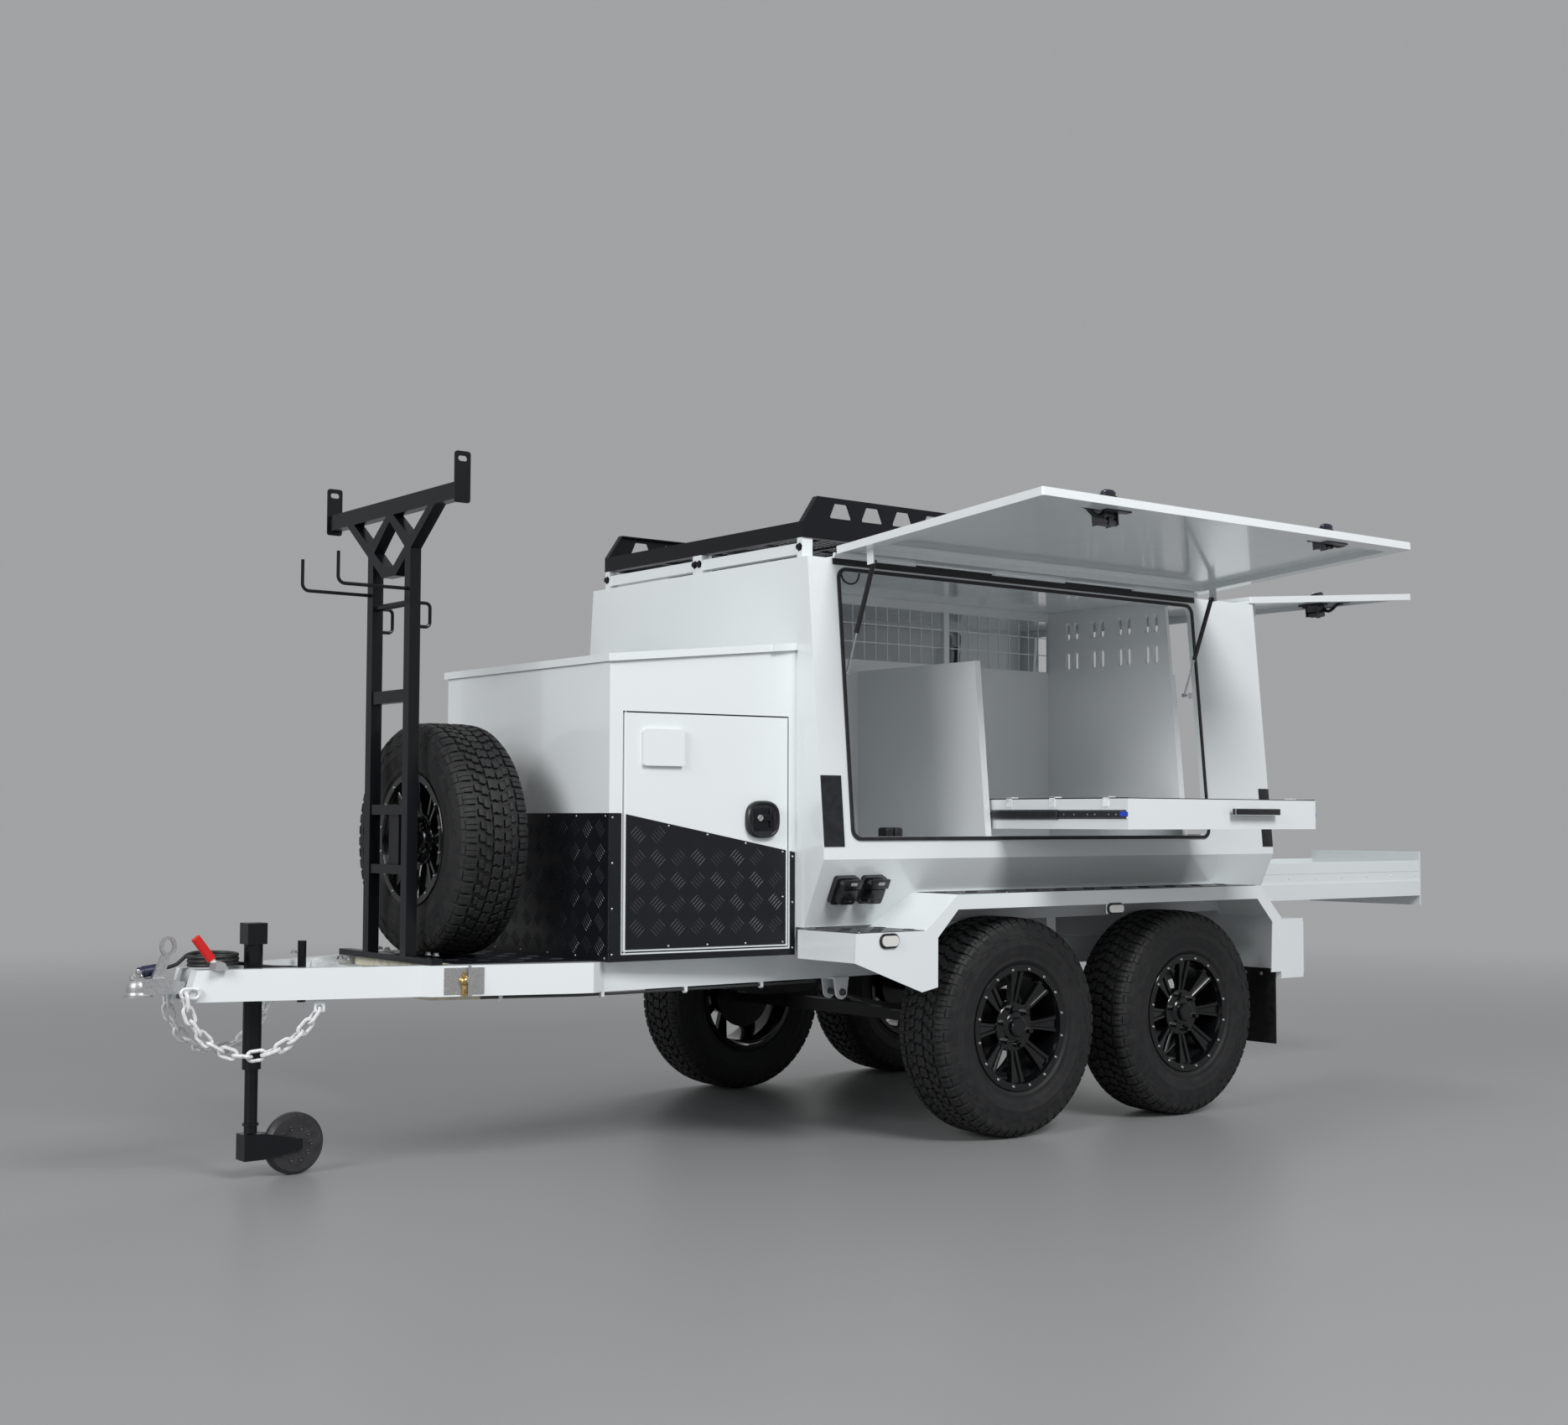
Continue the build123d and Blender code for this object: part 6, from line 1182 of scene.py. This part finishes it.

# the ball channels are flat bands flush with their lips, painted dark as the shade a groove would hold
channel_painted_shade = plated("channel_painted_shade", (0.085, 0.088, 0.092), 0.42, 400.0)
lever_blue = moulding("lever_blue", (0.012, 0.045, 0.42), 0.34)
pull = blocks(((3.5035, -1.4536, 0.5594), (3.7649, -1.4364, 0.5846), 0.0035, 3))
solid_piece("side_drawer_pull", pull, lock_black, "side_drawer", 40)
drawer_liner = blocks(
    ((2.9562, -1.418, 0.6159), (2.961, -0.735, 0.62), 0.0004, 1),
    ((4.011, -1.418, 0.6159), (4.0158, -0.735, 0.62), 0.0004, 1),
    ((2.9562, -1.4226, 0.6159), (4.0158, -1.4182, 0.619), 0.0004, 1),
)
solid_piece("side_drawer_liner", drawer_liner, seal_rubber, "side_drawer")
clips = bmesh.new()
for clip_y in (-0.84, -1.06, -1.32):
    for wall_x, way in ((2.956, 1), (4.016, -1)):
        outer_x = wall_x - way * 0.0026
        for inner_x, low_z, high_z in ((wall_x + way * 0.0002, 0.588, 0.624), (wall_x + way * 0.034, 0.6198, 0.6245)):
            block(clips, (outer_x, clip_y - 0.014, low_z), (inner_x, clip_y + 0.014, high_z), 0.0008)
clip_nylon = moulding("clip_nylon", (0.62, 0.64, 0.65), 0.3)
solid_piece("side_drawer_clips", clips, clip_nylon, "side_drawer")

rail_lips, rail_channels, rail_screws = bmesh.new(), bmesh.new(), bmesh.new()
rail_levers, slide_channels = bmesh.new(), bmesh.new()
rail_start, rail_end = -1.418, -0.745
for wall_x, way in ((2.9525, -1), (4.0195, 1)):
    face_x, back_x = wall_x + way * 0.00015, wall_x - way * 0.0004
    for form, low, high in ((rail_lips, 0.5445, 0.55), (rail_lips, 0.571, 0.5765), (rail_channels, 0.55, 0.571)):
        block(form, (face_x, rail_start, low), (back_x, rail_end, high), 0.00005, 1)
    block(rail_levers, (wall_x + way * 0.0002, -1.4225, 0.554), (wall_x - way * 0.003, -1.388, 0.57), 0.0001, 1)
    for screw_y in (-1.37, -1.335, -1.27, -1.235, -1.17, -1.12):
        start = (wall_x - way * 0.0003, screw_y, 0.5605)
        turned(rail_screws, [(0.0034, 0.0), (0.0034, 0.00054)], start, (way, 0, 0), 12)
    slide_x = wall_x + way * 0.0067
    face_x, back_x = slide_x + way * 0.00012, slide_x - way * 0.0003
    block(slide_channels, (face_x, -1.086, 0.5485), (back_x, -0.412, 0.5725), 0.00005, 1)
solid_piece("drawer_rail_lips", rail_lips, slide_zinc, "side_drawer")
solid_piece("drawer_rail_screws", rail_screws, zinc, "side_drawer")
solid_piece("drawer_rail_channels", rail_channels, channel_painted_shade, "side_drawer")
solid_piece("drawer_rail_levers", rail_levers, lever_blue, "side_drawer")
solid_piece("slide_channels", slide_channels, channel_painted_shade, "slide_members")

crease_bands = bmesh.new()
rear_rivets = []
for wall_y, way in ((-0.625, -1), (-0.015, 1)):
    face_y, back_y = wall_y + way * 0.0014, wall_y - way * 0.001
    block(crease_bands, (4.464, face_y, 0.304), (5.8825, back_y, 0.3535), 0.0006, 1)
    rear_rivets += [(spot, (0, way, 0)) for spot in row_between((4.52, wall_y, 0.286), (5.85, wall_y, 0.286), 0.19)]
solid_piece("rear_drawer_crease_bands", crease_bands, white_coat, "rear_drawer")
set_fixings("rear_drawer_rivets", rivet_head, rear_rivets, white_coat, "rear_drawer", 1.3)

# ----------------------------------------------
# Guards and lamps: white folded mudguards with black tread on their tops and step, sealed
# two-tone rear lamps, oval side markers on dark bases, and plain black flaps.
# ----------------------------------------------

lens_clear, lens_shader, lens_place = finish("lens_clear", (0.7, 0.7, 0.68), 0.07)
lens_shader.inputs["Coat Weight"].default_value = 0.6
lens_ribs = add_node(lens_clear.node_tree, "ShaderNodeTexWave", {"Scale": 90.0, "Vector": lens_place})
relief(lens_clear, lens_shader, lens_ribs.outputs["Fac"], 0.0006, 0.4)
lens_red = powder_coat("lens_red", (0.42, 0.008, 0.01), 0.12, 0.00002, 0.5)
lens_amber = powder_coat("lens_amber", (0.62, 0.2, 0.012), 0.12, 0.00002, 0.5)
dress(white_coat, "mudguards")
dress(lens_clear, "lamps")
dress(seal_rubber, "mudflaps")

# each sheet has its two ends, its inner edge and its height; both reach the guard's edge
sheet_sizes = ((2.112, 2.452, 0.684, 0.154), (2.582, 4.236, 0.742, 0.277))
guard_edge = 0.966
guard_plates = bmesh.new()
guard_sheets, guard_rivets = [], []
for side in (-1, 1):
    for x0, x1, inner_y, top_z in sheet_sizes:
        y0, y1 = sorted((side * inner_y, side * guard_edge))
        tread_z, rivet_y = top_z + 0.0016, side * (guard_edge - 0.011)
        block(guard_plates, (x0, y0, top_z - 0.0002), (x1, y1, tread_z), 0.0004, 1)
        guard_sheets.append(((0, 0, tread_z), (1, 0, 0), (0, 1, 0), [(x0, y0), (x1, y0), (x1, y1), (x0, y1)]))
        row = row_between((x0 + 0.012, rivet_y, tread_z), (x1 - 0.012, rivet_y, tread_z), 0.24)
        guard_rivets += [(spot, (0, 0, 1)) for spot in row]
solid_piece("guard_tread_sheets", guard_plates, tread_black, "trailer")
tread_on("guard_tread", guard_sheets, "trailer")
set_fixings("guard_rivets", rivet_head, guard_rivets, zinc, "trailer")

marker_rings = ((0.008, -0.0002), (0.008, 0.005), (0.006, 0.0072), (-0.0006, 0.0072), (-0.0006, -0.0002))
marker_bases = bmesh.new()
for side in (-1, 1):
    for marker_x, marker_z, half_x, half_z in ((2.241, 0.125, 0.036, 0.018), (3.381, 0.206, 0.037, 0.014)):
        rings = []
        for grow, away in marker_rings:
            ring = []
            for angle in angles(32):
                x = marker_x + copysign(half_x - half_z, cos(angle)) + (half_z + grow) * cos(angle)
                ring.append((x, side * (0.975 + away), marker_z + (half_z + grow) * sin(angle)))
            rings.append(ring)
        loft(marker_bases, rings, wrapped=True)
solid_piece("marker_bases", marker_bases, lock_black, "trailer", 40)

lens_front, lens_back = 4.54, 4.546
for colour, lens, low_z, high_z in (("red", lens_red, 0.03, 0.123), ("amber", lens_amber, -0.04, 0.027)):
    lenses = bmesh.new()
    for side in (-1, 1):
        block(lenses, (lens_front, side * 0.862, low_z), (lens_back, side * 0.963, high_z), 0.0022, 3)
    solid_piece(f"rear_lamp_{colour}_lenses", lenses, lens, "trailer", 40)
flap_bolts = [((4.3731, side * y, -0.09), (-1, 0, 0)) for side in (-1, 1) for y in (0.72, 0.8, 0.88)]
set_fixings("mudflap_bolts", bolt_head, flap_bolts, zinc, "trailer", 0.8)

# ----------------------------------------------
# Racks: a welded black ladder rack on the drawbar, and a black tray rack with an expanded
# mesh floor on white supports along the roof.
# ----------------------------------------------

dress(black_coat, "ladder_rack", "roof_rack")
dress(white_coat, "rack_supports")

rack_bolts = [((x, side * y, 0.0852), (0, 0, 1)) for x in (0.604, 0.922) for side in (-1, 1) for y in (0.15, 0.205)]
set_fixings("ladder_rack_foot_bolts", bolt_head, rack_bolts, zinc, "trailer", 1.1)

support_bolts = []
for support_x in (2.15, 2.8, 3.5, 4.19):
    for side in (-1, 1):
        for way in (-1, 1):
            for bolt_y in (side * 0.625, side * 0.014):
                support_bolts.append(((support_x + way * 0.024, bolt_y, 1.512), (way, 0, 0)))
set_fixings("support_bolts", bolt_head, support_bolts, black_coat, "trailer", 1.3)

cell_long, cell_wide, strand_high = 0.06, 0.025, 0.0022
cell_form = bmesh.new()
for start, run in (
    ((-cell_long / 2, 0), Vector((cell_long / 2, cell_wide / 2, 0))),
    ((0, cell_wide / 2), Vector((cell_long / 2, -cell_wide / 2, 0))),
):
    across = Vector((-run.y, run.x, 0)).normalized() * 0.0016
    outline = [across, -across, -across + up * strand_high, across + up * strand_high]
    for flip in (1, -1):
        prism(cell_form, outline, (start[0], flip * start[1], 0), (run.x, flip * run.y, 0))
mesh_cell = bpy.data.objects.new("mesh_cell", mesh_from("mesh_cell", cell_form))
rack_low, rack_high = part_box("roof_rack")
middle_x, middle_y = (rack_low[0] + rack_high[0]) / 2, (rack_low[1] + rack_high[1]) / 2
rows = int((rack_high[1] - rack_low[1] - 0.075) / cell_wide)
columns = int((rack_high[0] - rack_low[0] - 0.08) / cell_long)
cell_places = []
for row in range(rows + 1):
    for column in range(columns + 1):
        cell_x = middle_x + (column - columns / 2) * cell_long
        cell_places.append(((cell_x, middle_y + (row - rows / 2) * cell_wide, 1.561), (0, 0, 1)))
set_fixings("rack_floor_mesh", mesh_cell, cell_places, black_coat, "trailer")
